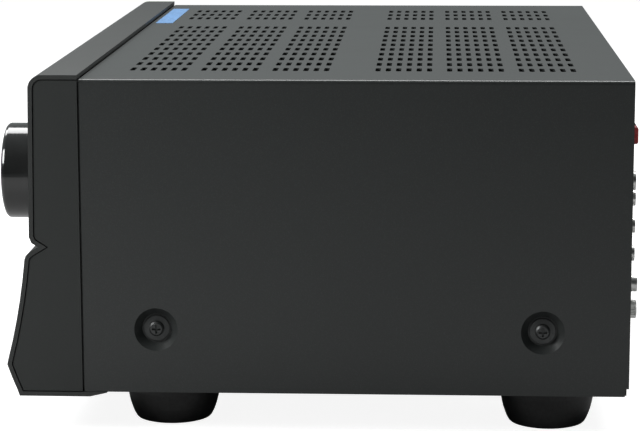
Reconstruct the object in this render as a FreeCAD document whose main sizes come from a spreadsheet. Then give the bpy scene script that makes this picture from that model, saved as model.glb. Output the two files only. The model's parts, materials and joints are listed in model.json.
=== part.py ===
import FreeCAD, Part
import math
import os
import Sketcher

# Stereo receiver as an assembly of separate pieces, in millimetres.
# +Z is up and the front faces -Y. The origin is on the floor, under the middle of the whole box.

V = FreeCAD.Vector
doc = FreeCAD.newDocument("stereo_receiver")
sheet = doc.addObject("Spreadsheet::Sheet", "dims")
nodes = []

# ---------------------------------------------------------------- driving dimensions

DIMENSIONS = {
    # case
    "seam_y": -120.0,           # front edge of the cover
    "base_z": 22.3,             # bottom edge of the cover, top of the feet
    "cover_width": 433.0,
    "cover_depth": 274.0,
    "cover_height": 158.85,
    "cover_gauge": 1.0,
    "cover_bend": 2.0,
    "rear_flange": 11.0,
    "rear_notch": 2.0,
    "chassis_gauge": 1.2,
    "chassis_width": 422.0,
    "chassis_wall": 50.0,
    "panel_gauge": 1.2,         # rear panel
    "panel_y": 153.0,           # outer face of the rear panel
    # dimples and screws in the cover sides
    "dimple_radius": 11.0,
    "dimple_seat": 7.4,
    "dimple_depth": 4.5,
    "dimple_front_y": -83.3,
    "dimple_rear_y": 110.7,
    "dimple_z": 54.7,
    # vent slots
    "slot_length": 14.0,
    "slot_width": 2.7,
    "slot_pitch_x": 25.0,
    "slot_pitch_y": 5.25,
    # fascia
    "fascia_width": 435.0,
    "fascia_skin": 2.2,
    "fascia_gap": 0.9,
    "cheek_inset": 0.5,
    "cheek_groove": 0.5,
    "cheek_plate": 2.5,
    "cheek_backing": 1.5,
    "fascia_top": 161.0,        # outline, measured from the seam and the cover's bottom edge
    "fascia_face_y": -25.4,
    "brow_radius": 7.0,
    "waist_y": -26.5,
    "waist_z": 79.6,
    "notch_y": -22.0,
    "notch_z": 74.4,
    "notch_lip_y": -29.0,
    "notch_lip_z": 68.0,
    "flare_y": -38.5,
    "flare_z": 16.3,
    "flare_radius": 325.0,
    "lip_y": -39.0,
    "lip_z": 13.9,
    "toe_y": -33.0,
    "toe_z": -2.3,
    "window_low_x": -105.0,
    "window_high_x": 85.0,
    "window_low_z": 122.0,
    "window_high_z": 168.0,
    # knobs
    "knob_z": 126.7,
    "volume_x": 160.0,
    "volume_radius": 24.8,
    "volume_front_y": -167.0,
    "selector_x": -160.0,
    "selector_radius": 17.0,
    "selector_front_y": -162.0,
    "knob_back_y": -147.2,
    "shaft_radius": 3.0,
    "bushing_radius": 4.5,
    "running_gap": 0.05,
    "tone_z": 66.0,
    "tone_first_x": -60.0,
    "tone_pitch": 38.0,
    "tone_radius": 7.5,
    "tone_front_y": -163.0,
    "tone_back_y": -155.0,
    # buttons
    "button_z": 108.5,
    "button_first_x": -85.0,
    "button_pitch": 50.0,
    "button_width": 24.0,
    "button_height": 5.0,
    "button_front_y": -147.6,
    "button_gap": 0.4,
    "power_x": -190.0,
    "power_z": 158.0,
    "power_radius": 6.5,
    "power_front_y": -149.5,
    # front jack
    "phones_x": -185.0,
    "phones_z": 62.0,
    "phones_bore": 3.2,
    # feet
    "foot_front_x": 176.0,
    "foot_rear_x": 179.0,
    "foot_front_y": -79.1,
    "foot_rear_y": 114.9,
    "foot_top_radius": 24.5,
    "foot_low_radius": 21.6,
    "foot_pad_radius": 15.5,
    # rear sockets
    "socket_tip_y": 160.6,
    "socket_radius": 4.15,
    "socket_bore": 1.75,
    "socket_rim_radius": 5.0,
    "socket_rim": 0.8,          # how far the rolled rim stands out of the panel
    "input_board_y": 133.0,
    "coax_x": 172.0,
    "coax_z": 124.9,
    "coax_radius": 4.9,
    "coax_tip_y": 158.8,
    "aerial_z": 146.9,
    "aerial_red_x": 160.0,
    "aerial_black_x": 146.0,
    "remote_x": 173.0,
    "remote_z": 71.6,
    "remote_tip_y": 160.4,
    "ground_x": 173.0,
    "ground_z": 58.0,
    "post_first_x": -72.0,
    "post_pitch": 19.0,
    "post_z": 62.0,
    "post_tip_y": 167.0,
    "cap_radius": 6.6,
    "inlet_x": -186.0,
    "inlet_z": 62.0,
    # boards and blocks inside
    "board_gauge": 1.6,
    "standoff": 6.5,
    "sink_low_x": -60.0,
    "sink_length": 200.0,
    "sink_y": 20.0,
    "sink_height": 112.0,
    "fin_depth": 34.0,
    "fin_gauge": 1.6,
    "fin_pitch": 8.0,
    "core_x": -185.0,
    "core_y": -45.0,
    "core_z": 25.5,
    "core_width": 90.0,
    "core_stack": 45.0,
    "core_height": 75.0,
    "core_limb": 15.0,
}

for row, (alias, number) in enumerate(DIMENSIONS.items(), 1):
    sheet.set(f"A{row}", alias)
    sheet.set(f"B{row}", str(number))
    sheet.setAlias(f"B{row}", alias)
doc.recompute()


def size(alias):
    """A driving dimension's number, read from the sheet."""
    return float(sheet.get(alias))


# ---------------------------------------------------------------- building blocks

TURN = {
    "+x": FreeCAD.Rotation(V(0, 1, 0), 90),
    "-x": FreeCAD.Rotation(V(0, 1, 0), -90),
    "+y": FreeCAD.Rotation(V(1, 0, 0), -90),
    "-y": FreeCAD.Rotation(V(1, 0, 0), 90),
    "+z": FreeCAD.Rotation(),
    "-z": FreeCAD.Rotation(V(1, 0, 0), 180),
}
PLANE = {
    "xy": FreeCAD.Rotation(),
    "xz": FreeCAD.Rotation(V(1, 0, 0), 90),
    "yz": FreeCAD.Rotation(V(1, 1, 1), 120),
}


def place(obj, at, rotation=FreeCAD.Rotation()):
    """Put an object at three sheet formulas."""
    obj.Placement = FreeCAD.Placement(V(), rotation)
    for axis, formula in zip("xyz", at):
        obj.setExpression(f"Placement.Base.{axis}", str(formula))
    return obj


def node(obj, label):
    """Mark an object as one sub-part that is written to its own file."""
    obj.Label = label
    nodes.append(obj)
    return obj


def box(name, low, sides):
    obj = doc.addObject("Part::Box", name)
    for prop, formula in zip(("Length", "Width", "Height"), sides):
        obj.setExpression(prop, str(formula))
    return place(obj, low)


def rod(name, base, direction, radius, length):
    obj = doc.addObject("Part::Cylinder", name)
    obj.setExpression("Radius", str(radius))
    obj.setExpression("Height", str(length))
    return place(obj, base, TURN[direction])


def cone(name, base, direction, radius_base, radius_far, length):
    obj = doc.addObject("Part::Cone", name)
    obj.setExpression("Radius1", str(radius_base))
    obj.setExpression("Radius2", str(radius_far))
    obj.setExpression("Height", str(length))
    return place(obj, base, TURN[direction])


def fuse(name, pieces):
    obj = doc.addObject("Part::MultiFuse", name)
    obj.Shapes = pieces
    obj.Refine = True
    return obj


def group(name, pieces):
    """Separate solids kept side by side in one object."""
    obj = doc.addObject("Part::Compound", name)
    obj.Links = pieces
    return obj


def cut(name, base, tools):
    obj = doc.addObject("Part::Cut", name)
    obj.Base = base
    obj.Tool = tools[0] if len(tools) == 1 else group(name + "_tools", tools)
    return obj


def mirrored_x(name, source):
    """The same piece on the other side of the middle plane."""
    obj = doc.addObject("Part::Mirroring", name)
    obj.Source = source
    obj.Normal = V(1, 0, 0)
    return obj


def round_edges(name, base, radius, pick):
    """Fillet the edges of an object that pick() chooses."""
    doc.recompute()
    chosen = [i for i, edge in enumerate(base.Shape.Edges, 1) if pick(edge)]
    obj = doc.addObject("Part::Fillet", name)
    obj.Base = base
    obj.Edges = [(i, radius, radius) for i in chosen]
    return obj


def along(edge, axis):
    """True for a straight edge that runs along one axis."""
    if len(edge.Vertexes) != 2 or edge.Curve.TypeId != "Part::GeomLine":
        return False
    run = edge.Vertexes[1].Point - edge.Vertexes[0].Point
    spread = [abs(run.x), abs(run.y), abs(run.z)]
    return spread["xyz".index(axis)] > 0.999 * run.Length


def close_polygon(sketch, points):
    """Draw a closed polygon and bind each corner to its two formulas."""
    count = len(points)
    step = 2 * math.pi / count
    start = [V(10 * math.cos(i * step), 10 * math.sin(i * step), 0) for i in range(count)]
    sketch.addGeometry([Part.LineSegment(start[i], start[(i + 1) % count]) for i in range(count)])
    sketch.addConstraint([Sketcher.Constraint("Coincident", i, 2, (i + 1) % count, 1) for i in range(count)])
    for i, corner in enumerate(points):
        for kind, formula, now in zip(("DistanceX", "DistanceY"), corner, (start[i].x, start[i].y)):
            key = sketch.addConstraint(Sketcher.Constraint(kind, -1, 1, i, 1, now))
            sketch.setExpression(f"Constraints[{key}]", str(formula))


def prism(name, plane, points, start, length):
    """A polygon in one plane, pushed out along that plane's normal from start."""
    sketch = doc.addObject("Sketcher::SketchObject", name + "_outline")
    close_polygon(sketch, points)
    at = {"xy": (0, 0, start), "xz": (0, start, 0), "yz": (start, 0, 0)}[plane]
    place(sketch, at, PLANE[plane])
    return pushed(name, sketch, length)


def pushed(name, sketch, length):
    obj = doc.addObject("Part::Extrusion", name)
    obj.Base = sketch
    obj.DirMode = "Normal"
    obj.Solid = True
    obj.setExpression("LengthFwd", str(length))
    return obj


def origin_plane(body, role):
    return next(item for item in body.Origin.OriginFeatures if item.Role == role)


def body_sketch(body, name, role):
    sketch = body.newObject("Sketcher::SketchObject", name)
    sketch.AttachmentSupport = [(origin_plane(body, role), "")]
    sketch.MapMode = "FlatFace"
    return sketch


def turned(name, profile, base, direction):
    """A body of revolution: profile is (radius, height) formulas, height along direction."""
    body = doc.addObject("PartDesign::Body", name)
    sketch = body_sketch(body, name + "_profile", "XZ_Plane")
    close_polygon(sketch, profile)
    spin = body.newObject("PartDesign::Revolution", name + "_spin")
    spin.Profile = sketch
    spin.ReferenceAxis = (sketch, ["V_Axis"])
    spin.Angle = 360
    return place(body, base, TURN[direction])


def swept(name, points, bend, section):
    """A solid swept along straight runs joined by arcs of one bend radius."""
    edges = []
    here = points[0]
    for before, corner, after in zip(points, points[1:], points[2:]):
        back = (before - corner).normalize()
        ahead = (after - corner).normalize()
        half = math.acos(max(-1.0, min(1.0, back.dot(ahead)))) / 2
        reach = bend / math.tan(half)
        first = corner + back * reach
        last = corner + ahead * reach
        inward = (back + ahead).normalize()
        middle = corner + inward * (bend / math.sin(half) - bend)
        edges.append(Part.makeLine(here, first))
        edges.append(Part.Arc(first, middle, last).toShape())
        here = last
    edges.append(Part.makeLine(here, points[-1]))
    path = Part.Wire(edges)
    obj = doc.addObject("Part::Feature", name)
    obj.Shape = path.makePipeShell([section], True, False)
    obj.Placement = FreeCAD.Placement()
    return obj


# ---------------------------------------------------------------- case

SIDES = (1, -1)
DIMPLES = [(side, alias) for side in SIDES for alias in ("dimple_front_y", "dimple_rear_y")]
SLOT_COLUMNS = [170 - i * size("slot_pitch_x") for i in range(10)]
SLOT_COLUMNS += [-116 - i * size("slot_pitch_x") for i in range(3)]
SLOT_BLOCKS = (21.5, 58.0, 94.5, 147.0, 183.5, 220.0)
SLOTS_PER_BLOCK = 6


def outward(side):
    return "+x" if side > 0 else "-x"


def inward(side):
    return "-x" if side > 0 else "+x"


def slot_tool(x, y, z, length, width, height):
    """A round-ended slot along X, ready to be cut upwards from z."""
    half = width / 2
    left = x - length / 2 + half
    right = x + length / 2 - half
    edges = [
        Part.makeLine(V(left, y - half, z), V(right, y - half, z)),
        Part.Arc(V(right, y - half, z), V(x + length / 2, y, z), V(right, y + half, z)).toShape(),
        Part.makeLine(V(right, y + half, z), V(left, y + half, z)),
        Part.Arc(V(left, y + half, z), V(x - length / 2, y, z), V(left, y - half, z)).toShape(),
    ]
    return Part.Face(Part.Wire(edges)).extrude(V(0, 0, height))


def slot_field(name, columns, rows, z):
    obj = doc.addObject("Part::Feature", name)
    sizes = (size("slot_length"), size("slot_width"), 4.0)
    obj.Shape = Part.makeCompound([slot_tool(x, y, z, *sizes) for x in columns for y in rows])
    obj.Placement = FreeCAD.Placement()
    return obj


def dimple_cone(name, side, alias, sunk):
    """The dimple's cone, moved into the case by the sheet's thickness for its inner face."""
    x = f"{side} * (dims.cover_width / 2 - {sunk})"
    return cone(name, (x, f"dims.{alias}", "dims.dimple_z"), inward(side),
                f"dims.dimple_radius + {sunk} * 0.4", f"dims.dimple_seat + {sunk} * 0.4", "dims.dimple_depth")


def top_cover():
    outer = box("cover_outer", ("-dims.cover_width / 2", "dims.seam_y", "dims.base_z"),
                ("dims.cover_width", "dims.cover_depth", "dims.cover_height"))
    top = size("base_z") + size("cover_height")
    outer = round_edges("cover_outer_bend", outer, size("cover_bend"),
                        lambda e: along(e, "y") and e.CenterOfMass.z > top - 1)
    inner = box("cover_inner",
                ("-dims.cover_width / 2 + dims.cover_gauge", "dims.seam_y - 5", "dims.base_z - 5"),
                ("dims.cover_width - 2 * dims.cover_gauge", "dims.cover_depth + 10",
                 "dims.cover_height + 5 - dims.cover_gauge"))
    inner = round_edges("cover_inner_bend", inner, size("cover_bend") - size("cover_gauge"),
                        lambda e: along(e, "y") and e.CenterOfMass.z > top - 2)
    bent = cut("cover_bent", outer, [inner])
    flange = box("cover_flange",
                 ("-dims.cover_width / 2 + 3", "dims.seam_y + dims.cover_depth - dims.cover_gauge",
                  "dims.base_z + dims.cover_height - dims.rear_flange"),
                 ("dims.cover_width - 6", "dims.cover_gauge", "dims.rear_flange - dims.cover_gauge / 2"))
    outer_cones = [dimple_cone(f"dimple_out_{i}", *spot, "dims.cover_gauge")
                   for i, spot in enumerate(DIMPLES)]
    pressed = fuse("cover_pressed", [bent, flange] + outer_cones)
    inner_cones = [dimple_cone(f"dimple_in_{i}", *spot, "0") for i, spot in enumerate(DIMPLES)]
    holes = [rod(f"dimple_hole_{i}",
                 (f"{side} * (dims.cover_width / 2 - 10)", f"dims.{alias}", "dims.dimple_z"),
                 outward(side), 2.0, 12)
             for i, (side, alias) in enumerate(DIMPLES)]
    notches = [box(f"cover_notch_{i}",
                   (f"{side} * dims.cover_width / 2 - 3", "dims.seam_y + dims.cover_depth - dims.rear_notch",
                    "dims.base_z - 1"), (6, 5, 5)) for i, side in enumerate(SIDES)]
    rear_holes = [rod(f"cover_rear_hole_{i}", (x, "dims.panel_y - 2", REAR_SCREW_Z), "+y", 1.7, 6)
                  for i, x in enumerate(REAR_SCREWS)]
    rows = [size("seam_y") + block + i * size("slot_pitch_y")
            for block in SLOT_BLOCKS for i in range(SLOTS_PER_BLOCK)]
    slots = slot_field("cover_slots", SLOT_COLUMNS, rows, top - 2.5)
    plain = cut("cover_plain", pressed, inner_cones + holes + notches + rear_holes)
    return node(cut("cover", plain, [slots]), "top_cover")


REAR_SCREWS = (-190, -95, 0, 95, 190)
REAR_SCREW_Z = "dims.base_z + dims.cover_height - 6"


def cross_recess(name, base, direction, width, depth):
    """A cross-head recess: two crossed bars that start at the head's top and go down."""
    bars = []
    for i, sides in enumerate(((width, 1.0), (1.0, width))):
        bar = doc.addObject("Part::Box", f"{name}_bar{i}")
        bar.Length, bar.Width, bar.Height = sides[0], sides[1], depth
        shift = FreeCAD.Placement(V(-sides[0] / 2, -sides[1] / 2, 0), FreeCAD.Rotation())
        bar.Placement = shift
        bars.append(bar)
    cross = fuse(name + "_cross", bars)
    return place(cross, base, TURN[direction])


def cover_side_screws():
    screws = []
    for i, (side, alias) in enumerate(DIMPLES):
        seat = f"{side} * (dims.cover_width / 2 - dims.dimple_depth)"
        y, z = f"dims.{alias}", "dims.dimple_z"
        profile = ((0, -12), (1.85, -12), (1.85, 0), (6.9, 0), (6.9, 0.6), (6.4, 0.9),
                   (3.9, 1.3), (3.7, 2.7), (2.9, 3.5), (0, 3.7))
        screw = turned(f"side_screw_{i}", profile, (seat, y, z), outward(side))
        recess = cross_recess(f"side_recess_{i}",
                              (f"{side} * (dims.cover_width / 2 - dims.dimple_depth + 2)", y, z),
                              outward(side), 4.4, 3)
        screws.append(cut(f"side_screw_cut_{i}", screw, [recess]))
    return node(group("side_screws", screws), "cover_side_screws")


def cover_rear_screws():
    screws = []
    for i, x in enumerate(REAR_SCREWS):
        base = (x, "dims.panel_y + dims.cover_gauge", REAR_SCREW_Z)
        profile = ((0, -7), (1.4, -7), (1.4, 0), (3.2, 0), (3.2, 0.9), (2.4, 1.7), (0, 2.0))
        screw = turned(f"rear_screw_{i}", profile, base, "+y")
        recess = cross_recess(f"rear_recess_{i}", (x, "dims.panel_y + dims.cover_gauge + 0.9", REAR_SCREW_Z),
                              "+y", 3.2, 2)
        screws.append(cut(f"rear_screw_cut_{i}", screw, [recess]))
    return node(group("rear_screws", screws), "cover_rear_screws")


def label_strip():
    strip = box("label", (-183, "dims.seam_y + 2.5", "dims.base_z + dims.cover_height"), (101, 10.5, 0.15))
    return node(strip, "label_strip")


def bottom_chassis():
    length = "dims.panel_y - dims.panel_gauge - dims.seam_y - 3"
    floor = box("chassis_floor", ("-dims.chassis_width / 2", "dims.seam_y + 3", "dims.base_z"),
                ("dims.chassis_width", length, "dims.chassis_gauge"))
    walls = [box(f"chassis_wall_{i}", (x, "dims.seam_y + 3", "dims.base_z"),
                 ("dims.chassis_gauge", length, "dims.chassis_wall"))
             for i, x in enumerate(("-dims.chassis_width / 2",
                                    "dims.chassis_width / 2 - dims.chassis_gauge"))]
    posts = [rod(f"chassis_post_{i}", (x, y, "dims.base_z"), "+z", 3.2, "dims.chassis_gauge + dims.standoff")
             for i, (x, y) in enumerate(BOARD_POSTS)]
    tray = fuse("chassis_tray", [floor] + walls + posts)
    side_holes = [rod(f"chassis_side_hole_{i}",
                      (f"{side} * (dims.chassis_width / 2 - 4)", f"dims.{alias}", "dims.dimple_z"),
                      outward(side), 1.9, 6) for i, (side, alias) in enumerate(DIMPLES)]
    foot_holes = [rod(f"chassis_foot_hole_{i}", (*spot, "dims.base_z - 2"), "+z", 2.1, 8)
                  for i, spot in enumerate(FOOT_SPOTS)]
    slots = slot_field("chassis_slots", [-40 + 22 * i for i in range(9)],
                       [-50 + 7 * i for i in range(8)] + [72 + 7 * i for i in range(7)], size("base_z") - 1)
    return node(cut("chassis", tray, side_holes + foot_holes + [slots]), "bottom_chassis")


BOARD_POSTS = [(x, y) for x in (-68, 150) for y in (-66, 66)]
BOARD_POSTS += [(x, y) for x in (-190, -98) for y in (46, 122)]


# Stand-offs on the front sub-chassis: x, z and reach towards the front.
FRONT_POSTS = [(x, z, 11.5) for x in (-108, 88) for z in (105, 168)]
FRONT_POSTS += [(x, 66, 16.5) for x in (-80, 36)]


def front_subchassis():
    plate_y = "dims.seam_y - dims.fascia_gap"
    plate = box("sub_plate", (-214.5, plate_y, "dims.base_z + dims.chassis_gauge"),
                (429, 1, "dims.cover_height - 2.6"))
    top = box("sub_top", (-208, plate_y, "dims.base_z + dims.cover_height - 2.4"), (416, 13, 1))
    low = box("sub_low", (-208, plate_y, "dims.base_z + dims.chassis_gauge"), (416, 13, 1))
    posts = [rod(f"sub_post_{i}", (x, "dims.seam_y", z), "-y", 2.8, f"dims.fascia_gap + {reach}")
             for i, (x, z, reach) in enumerate(FRONT_POSTS)]
    windows = [box(f"sub_window_{i}", (low_x, "dims.seam_y - 5", z), (wide, 8, tall))
               for i, (low_x, z, wide, tall) in enumerate(((-70, 128, 130, 30), (-45, 56, 50, 20)))]
    return node(cut("subchassis", fuse("sub_blank", [plate, top, low] + posts), windows), "front_subchassis")


def term(alias, extra=0.0):
    """A coordinate as a number and as the sheet formula behind it."""
    return size(alias) + extra, f"dims.{alias} + {extra}"


def fascia_outline(name, rear):
    """The fascia's side profile: flat face, rounded brow, V notch and a flared lower half."""
    brow = size("brow_radius")
    corners = [
        (rear, term("fascia_top")),
        (term("fascia_face_y", brow), term("fascia_top")),
        (term("fascia_face_y"), term("fascia_top", -brow)),
        (term("waist_y"), term("waist_z")),
        (term("waist_y", 1.2), term("waist_z", -3.1)),
        (term("notch_y"), term("notch_z")),
        (term("notch_lip_y", 2.8), term("notch_lip_z", 3.9)),
        (term("notch_lip_y", 0.7), term("notch_lip_z", 1.9)),
        (term("notch_lip_y"), term("notch_lip_z")),
        (term("flare_y"), term("flare_z")),
        (term("lip_y"), term("lip_z")),
        (term("lip_y", 2.5), term("lip_z", -7.0)),
        (term("toe_y", -1.0), term("toe_z", 3.0)),
        (term("toe_y"), term("toe_z")),
        (rear, term("toe_z")),
    ]
    arcs = {1: (brow, False), 8: (size("flare_radius"), True)}
    sketch = doc.addObject("Sketcher::SketchObject", name)
    spots = [V(y[0], z[0], 0) for y, z in corners]
    count = len(spots)
    for i, start in enumerate(spots):
        end = spots[(i + 1) % count]
        if i not in arcs:
            sketch.addGeometry(Part.LineSegment(start, end))
            continue
        radius, hollow = arcs[i]
        chord = end - start
        rise = radius - math.sqrt(radius ** 2 - (chord.Length / 2) ** 2)
        outside = V(chord.y, -chord.x, 0).normalize()
        if hollow:
            middle = (start + end) * 0.5 - outside * rise
            sketch.addGeometry(Part.Arc(end, middle, start))
        else:
            middle = (start + end) * 0.5 + outside * rise
            sketch.addGeometry(Part.Arc(start, middle, end))
    for i in range(count):
        first, following = i, (i + 1) % count
        corner = spots[following]
        ends = (first, arc_end(sketch, first, corner), following, arc_end(sketch, following, corner))
        sketch.addConstraint(Sketcher.Constraint("Coincident", *ends))
    for i, corner in enumerate(corners):
        which = arc_end(sketch, i, spots[i])
        for kind, (number, formula) in zip(("DistanceX", "DistanceY"), corner):
            key = sketch.addConstraint(Sketcher.Constraint(kind, -1, 1, i, which, number))
            sketch.setExpression(f"Constraints[{key}]", formula)
    for i, alias in ((1, "brow_radius"), (8, "flare_radius")):
        key = sketch.addConstraint(Sketcher.Constraint("Radius", i, size(alias)))
        sketch.setExpression(f"Constraints[{key}]", f"dims.{alias}")
    return place(sketch, ("0", "dims.seam_y", "dims.base_z"), PLANE["yz"])


def arc_end(sketch, index, spot):
    """Which end of a line or arc lies at a spot: 1 for its start, 2 for its end."""
    start = sketch.Geometry[index].StartPoint
    return 1 if (start - spot).Length < 0.01 else 2


def fascia_prism(name, rear, shrink, start, length):
    """The fascia's profile moved in by shrink, as a bar along X."""
    outline = fascia_outline(name + "_outline", rear)
    place(outline, (start, "dims.seam_y", "dims.base_z"), PLANE["yz"])
    if shrink is None:
        return pushed(name, outline, length)
    offset = doc.addObject("Part::Offset2D", name + "_offset")
    offset.Source = outline
    offset.Join = "Intersection"
    offset.setExpression("Value", f"-({shrink})")
    return pushed(name, offset, length)


def front_holes():
    """What is cut through the fascia's face for the window, knobs, buttons and jack."""
    through = 30
    window = box("window_opening", ("dims.window_low_x", -152, "dims.window_low_z"),
                 ("dims.window_high_x - dims.window_low_x", through,
                  "dims.window_high_z - dims.window_low_z"))
    round_ones = [("dims.volume_x", "dims.knob_z", "dims.bushing_radius + 0.2"),
                  ("dims.selector_x", "dims.knob_z", "dims.bushing_radius + 0.2"),
                  ("dims.power_x", "dims.power_z", "dims.power_radius + dims.button_gap"),
                  ("dims.phones_x", "dims.phones_z", 6.2)]
    round_ones += [(tone_x(i), "dims.tone_z", 4.3) for i in range(3)]
    rods = [rod(f"front_hole_{i}", (x, -125, z), "-y", radius, 40)
            for i, (x, z, radius) in enumerate(round_ones)]
    slots = [box(f"button_hole_{i}",
                 (f"{button_x(i)} - dims.button_width / 2 - dims.button_gap", -150,
                  "dims.button_z - dims.button_height / 2 - dims.button_gap"),
                 ("dims.button_width + 2 * dims.button_gap", 20, "dims.button_height + 2 * dims.button_gap"))
             for i in range(4)]
    return [window] + rods + slots


def tone_x(i):
    return f"(dims.tone_first_x + {i} * dims.tone_pitch)"


def button_x(i):
    return f"(dims.button_first_x + {i} * dims.button_pitch)"


def front_panel():
    half = "dims.fascia_width / 2"
    gap = size("fascia_gap")
    skin = size("fascia_skin")
    blank = fascia_prism("fascia_blank", (-gap, "-dims.fascia_gap"), None, f"-{half}", "dims.fascia_width")
    core = fascia_prism("fascia_core", (skin - gap, "dims.fascia_skin - dims.fascia_gap"),
                        "dims.fascia_skin", f"-{half} - 2", "dims.fascia_width + 4")
    shell = cut("fascia_shell", blank, [core])
    rib_bars = [fascia_prism(f"fascia_rib_{i}", (skin - gap, "dims.fascia_skin - dims.fascia_gap"),
                             "dims.fascia_skin - 0.3", x, 2) for i, x in enumerate((-209, 207))]
    lip = prism("fascia_lip", "yz", [("dims.seam_y - dims.fascia_gap", "dims.base_z + dims.toe_z"),
                                     ("dims.seam_y + 2.8", "dims.base_z + dims.toe_z"),
                                     ("dims.seam_y + 5.9", "dims.base_z - 1.6"),
                                     ("dims.seam_y + 11.5", "dims.base_z - 0.3"),
                                     ("dims.seam_y + 11.5", "dims.base_z"),
                                     ("dims.seam_y - dims.fascia_gap", "dims.base_z")],
                f"-{half}", "dims.fascia_width")
    rear_trim = box("fascia_rear_trim",
                    ("-dims.fascia_width", "dims.seam_y - dims.fascia_gap", "dims.base_z + 0.01"),
                    ("2 * dims.fascia_width", 20, 200))
    whole = fuse("fascia_whole", [shell, lip] + rib_bars)
    return node(cut("fascia", whole, [rear_trim] + front_holes()), "front_panel")


def side_cheeks():
    gap = size("fascia_gap")
    skin = size("fascia_skin")
    groove = size("cheek_groove")
    plate = fascia_prism("cheek_plate_right",
                         (skin + groove - gap, "dims.fascia_skin + dims.cheek_groove - dims.fascia_gap"),
                         "dims.fascia_skin + dims.cheek_groove",
                         "dims.fascia_width / 2 - dims.cheek_inset - dims.cheek_plate", "dims.cheek_plate")
    backing = fascia_prism("cheek_backing_right", (skin - gap, "dims.fascia_skin - dims.fascia_gap"),
                           "dims.fascia_skin",
                           "dims.fascia_width / 2 - dims.cheek_inset - dims.cheek_plate - dims.cheek_backing",
                           "dims.cheek_backing")
    right = fuse("cheek_right", [plate, backing])
    return node(group("cheeks", [right, mirrored_x("cheek_left", right)]), "side_cheeks")


def display_window():
    """A pane that fills the opening, with a ledge behind the fascia's skin."""
    lean = size("waist_y") - size("fascia_face_y")
    slope = lean / (size("fascia_top") - size("brow_radius") - size("waist_z"))

    def face_y(z, behind):
        return size("seam_y") + size("waist_y") - slope * (z - size("base_z") - size("waist_z")) + behind

    low, high = size("window_low_z"), size("window_high_z")
    skin = size("fascia_skin")
    gap = 0.05
    pane = prism("window_pane", "yz", [(face_y(low + gap, 0.3), low + gap),
                                       (face_y(high - gap, 0.3), high - gap),
                                       (face_y(high - gap, skin + 0.6), high - gap),
                                       (face_y(low + gap, skin + 0.6), low + gap)],
                 f"dims.window_low_x + {gap}", f"dims.window_high_x - dims.window_low_x - 2 * {gap}")
    seat = skin + 0.01
    ledge = prism("window_ledge", "yz", [(face_y(low - 3, seat), low - 3), (face_y(high + 3, seat), high + 3),
                                         (face_y(high + 3, skin + 1.5), high + 3),
                                         (face_y(low - 3, skin + 1.5), low - 3)],
                  "dims.window_low_x - 3", "dims.window_high_x - dims.window_low_x + 6")
    return node(fuse("window", [pane, ledge]), "display_window")


# ---------------------------------------------------------------- feet

FOOT_SPOTS = [("dims.foot_front_x", "dims.foot_front_y"), ("-dims.foot_front_x", "dims.foot_front_y"),
              ("dims.foot_rear_x", "dims.foot_rear_y"), ("-dims.foot_rear_x", "dims.foot_rear_y")]


def feet():
    profile = ((2.2, "dims.base_z"), ("dims.foot_top_radius", "dims.base_z"),
               ("dims.foot_top_radius - 0.3", 16), ("dims.foot_top_radius - 1.2", 11),
               ("dims.foot_low_radius + 1", 8), ("dims.foot_low_radius", 5),
               ("dims.foot_low_radius - 0.8", 3), ("dims.foot_low_radius - 1.8", 1.2),
               ("dims.foot_low_radius - 2.5", 0.5), ("dims.foot_low_radius - 3.4", 0.2),
               ("dims.foot_pad_radius", 0.2), ("dims.foot_pad_radius", 3), (6, 3), (6, 11.5), (2.2, 11.5))
    parts = [turned(f"foot_{i}", profile, (*spot, 0), "+z") for i, spot in enumerate(FOOT_SPOTS)]
    return node(group("foot_group", parts), "feet")


def foot_pads():
    profile = ((6.5, 0), ("dims.foot_pad_radius - 0.8", 0), ("dims.foot_pad_radius", 0.6),
               ("dims.foot_pad_radius", 3), (6.5, 3))
    parts = [turned(f"pad_{i}", profile, (*spot, 0), "+z") for i, spot in enumerate(FOOT_SPOTS)]
    return node(group("pad_group", parts), "foot_pads")


def foot_screws():
    profile = ((0, 8.9), (3.6, 9.2), (4.4, 10.2), (4.4, 11.5), (2, 11.5), (2, "dims.base_z + 4"),
               (0, "dims.base_z + 4"))
    screws = []
    for i, spot in enumerate(FOOT_SPOTS):
        screw = turned(f"foot_screw_{i}", profile, (*spot, 0), "+z")
        recess = cross_recess(f"foot_recess_{i}", (*spot, 10.4), "-z", 4.4, 2)
        screws.append(cut(f"foot_screw_cut_{i}", screw, [recess]))
    return node(group("foot_screw_group", screws), "foot_screws")


# ---------------------------------------------------------------- front controls

PANEL_BACK = "dims.seam_y - dims.fascia_gap"     # front face of the sub-chassis


def knob(name, x, z, radius, back_y, front_y, wall):
    """A hollow turned knob with a blind hub for its shaft and a pointer groove in its face."""
    deep = f"(dims.{back_y} - dims.{front_y})"
    rim = f"dims.{radius}"
    profile = [("dims.shaft_radius + 0.02", 3), (7, 3), (7, f"{deep} - 4"),
               (f"{rim} - {wall}", f"{deep} - 4"), (f"{rim} - {wall}", 0), (f"{rim} - 0.4", 0),
               (rim, 0.4), (rim, f"{deep} - 2.6"),
               (f"{rim} - 0.25", f"{deep} - 1.7"), (f"{rim} - 0.9", f"{deep} - 1.0"),
               (f"{rim} - 2.0", f"{deep} - 0.6"), (f"{rim} * 0.5", f"{deep} - 0.15"), (0, deep),
               (0, f"{deep} - 6"), ("dims.shaft_radius + 0.02", f"{deep} - 6")]
    shell = turned(name + "_body", profile, (x, f"dims.{back_y}", z), "-y")
    groove = box(name + "_pointer", (f"{x} - 0.7", f"dims.{front_y} - 1", f"{z} + {rim} - 10"), (1.4, 1.7, 6))
    return node(cut(name + "_cut", shell, [groove]), name)


def knob_shaft(name, x, z, front_y):
    start = f"{PANEL_BACK} - 4"
    shaft = rod(name + "_rod", (x, start, z), "-y", "dims.shaft_radius",
                f"({start}) - (dims.{front_y} + 6.1)")
    return node(shaft, name)


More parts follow.
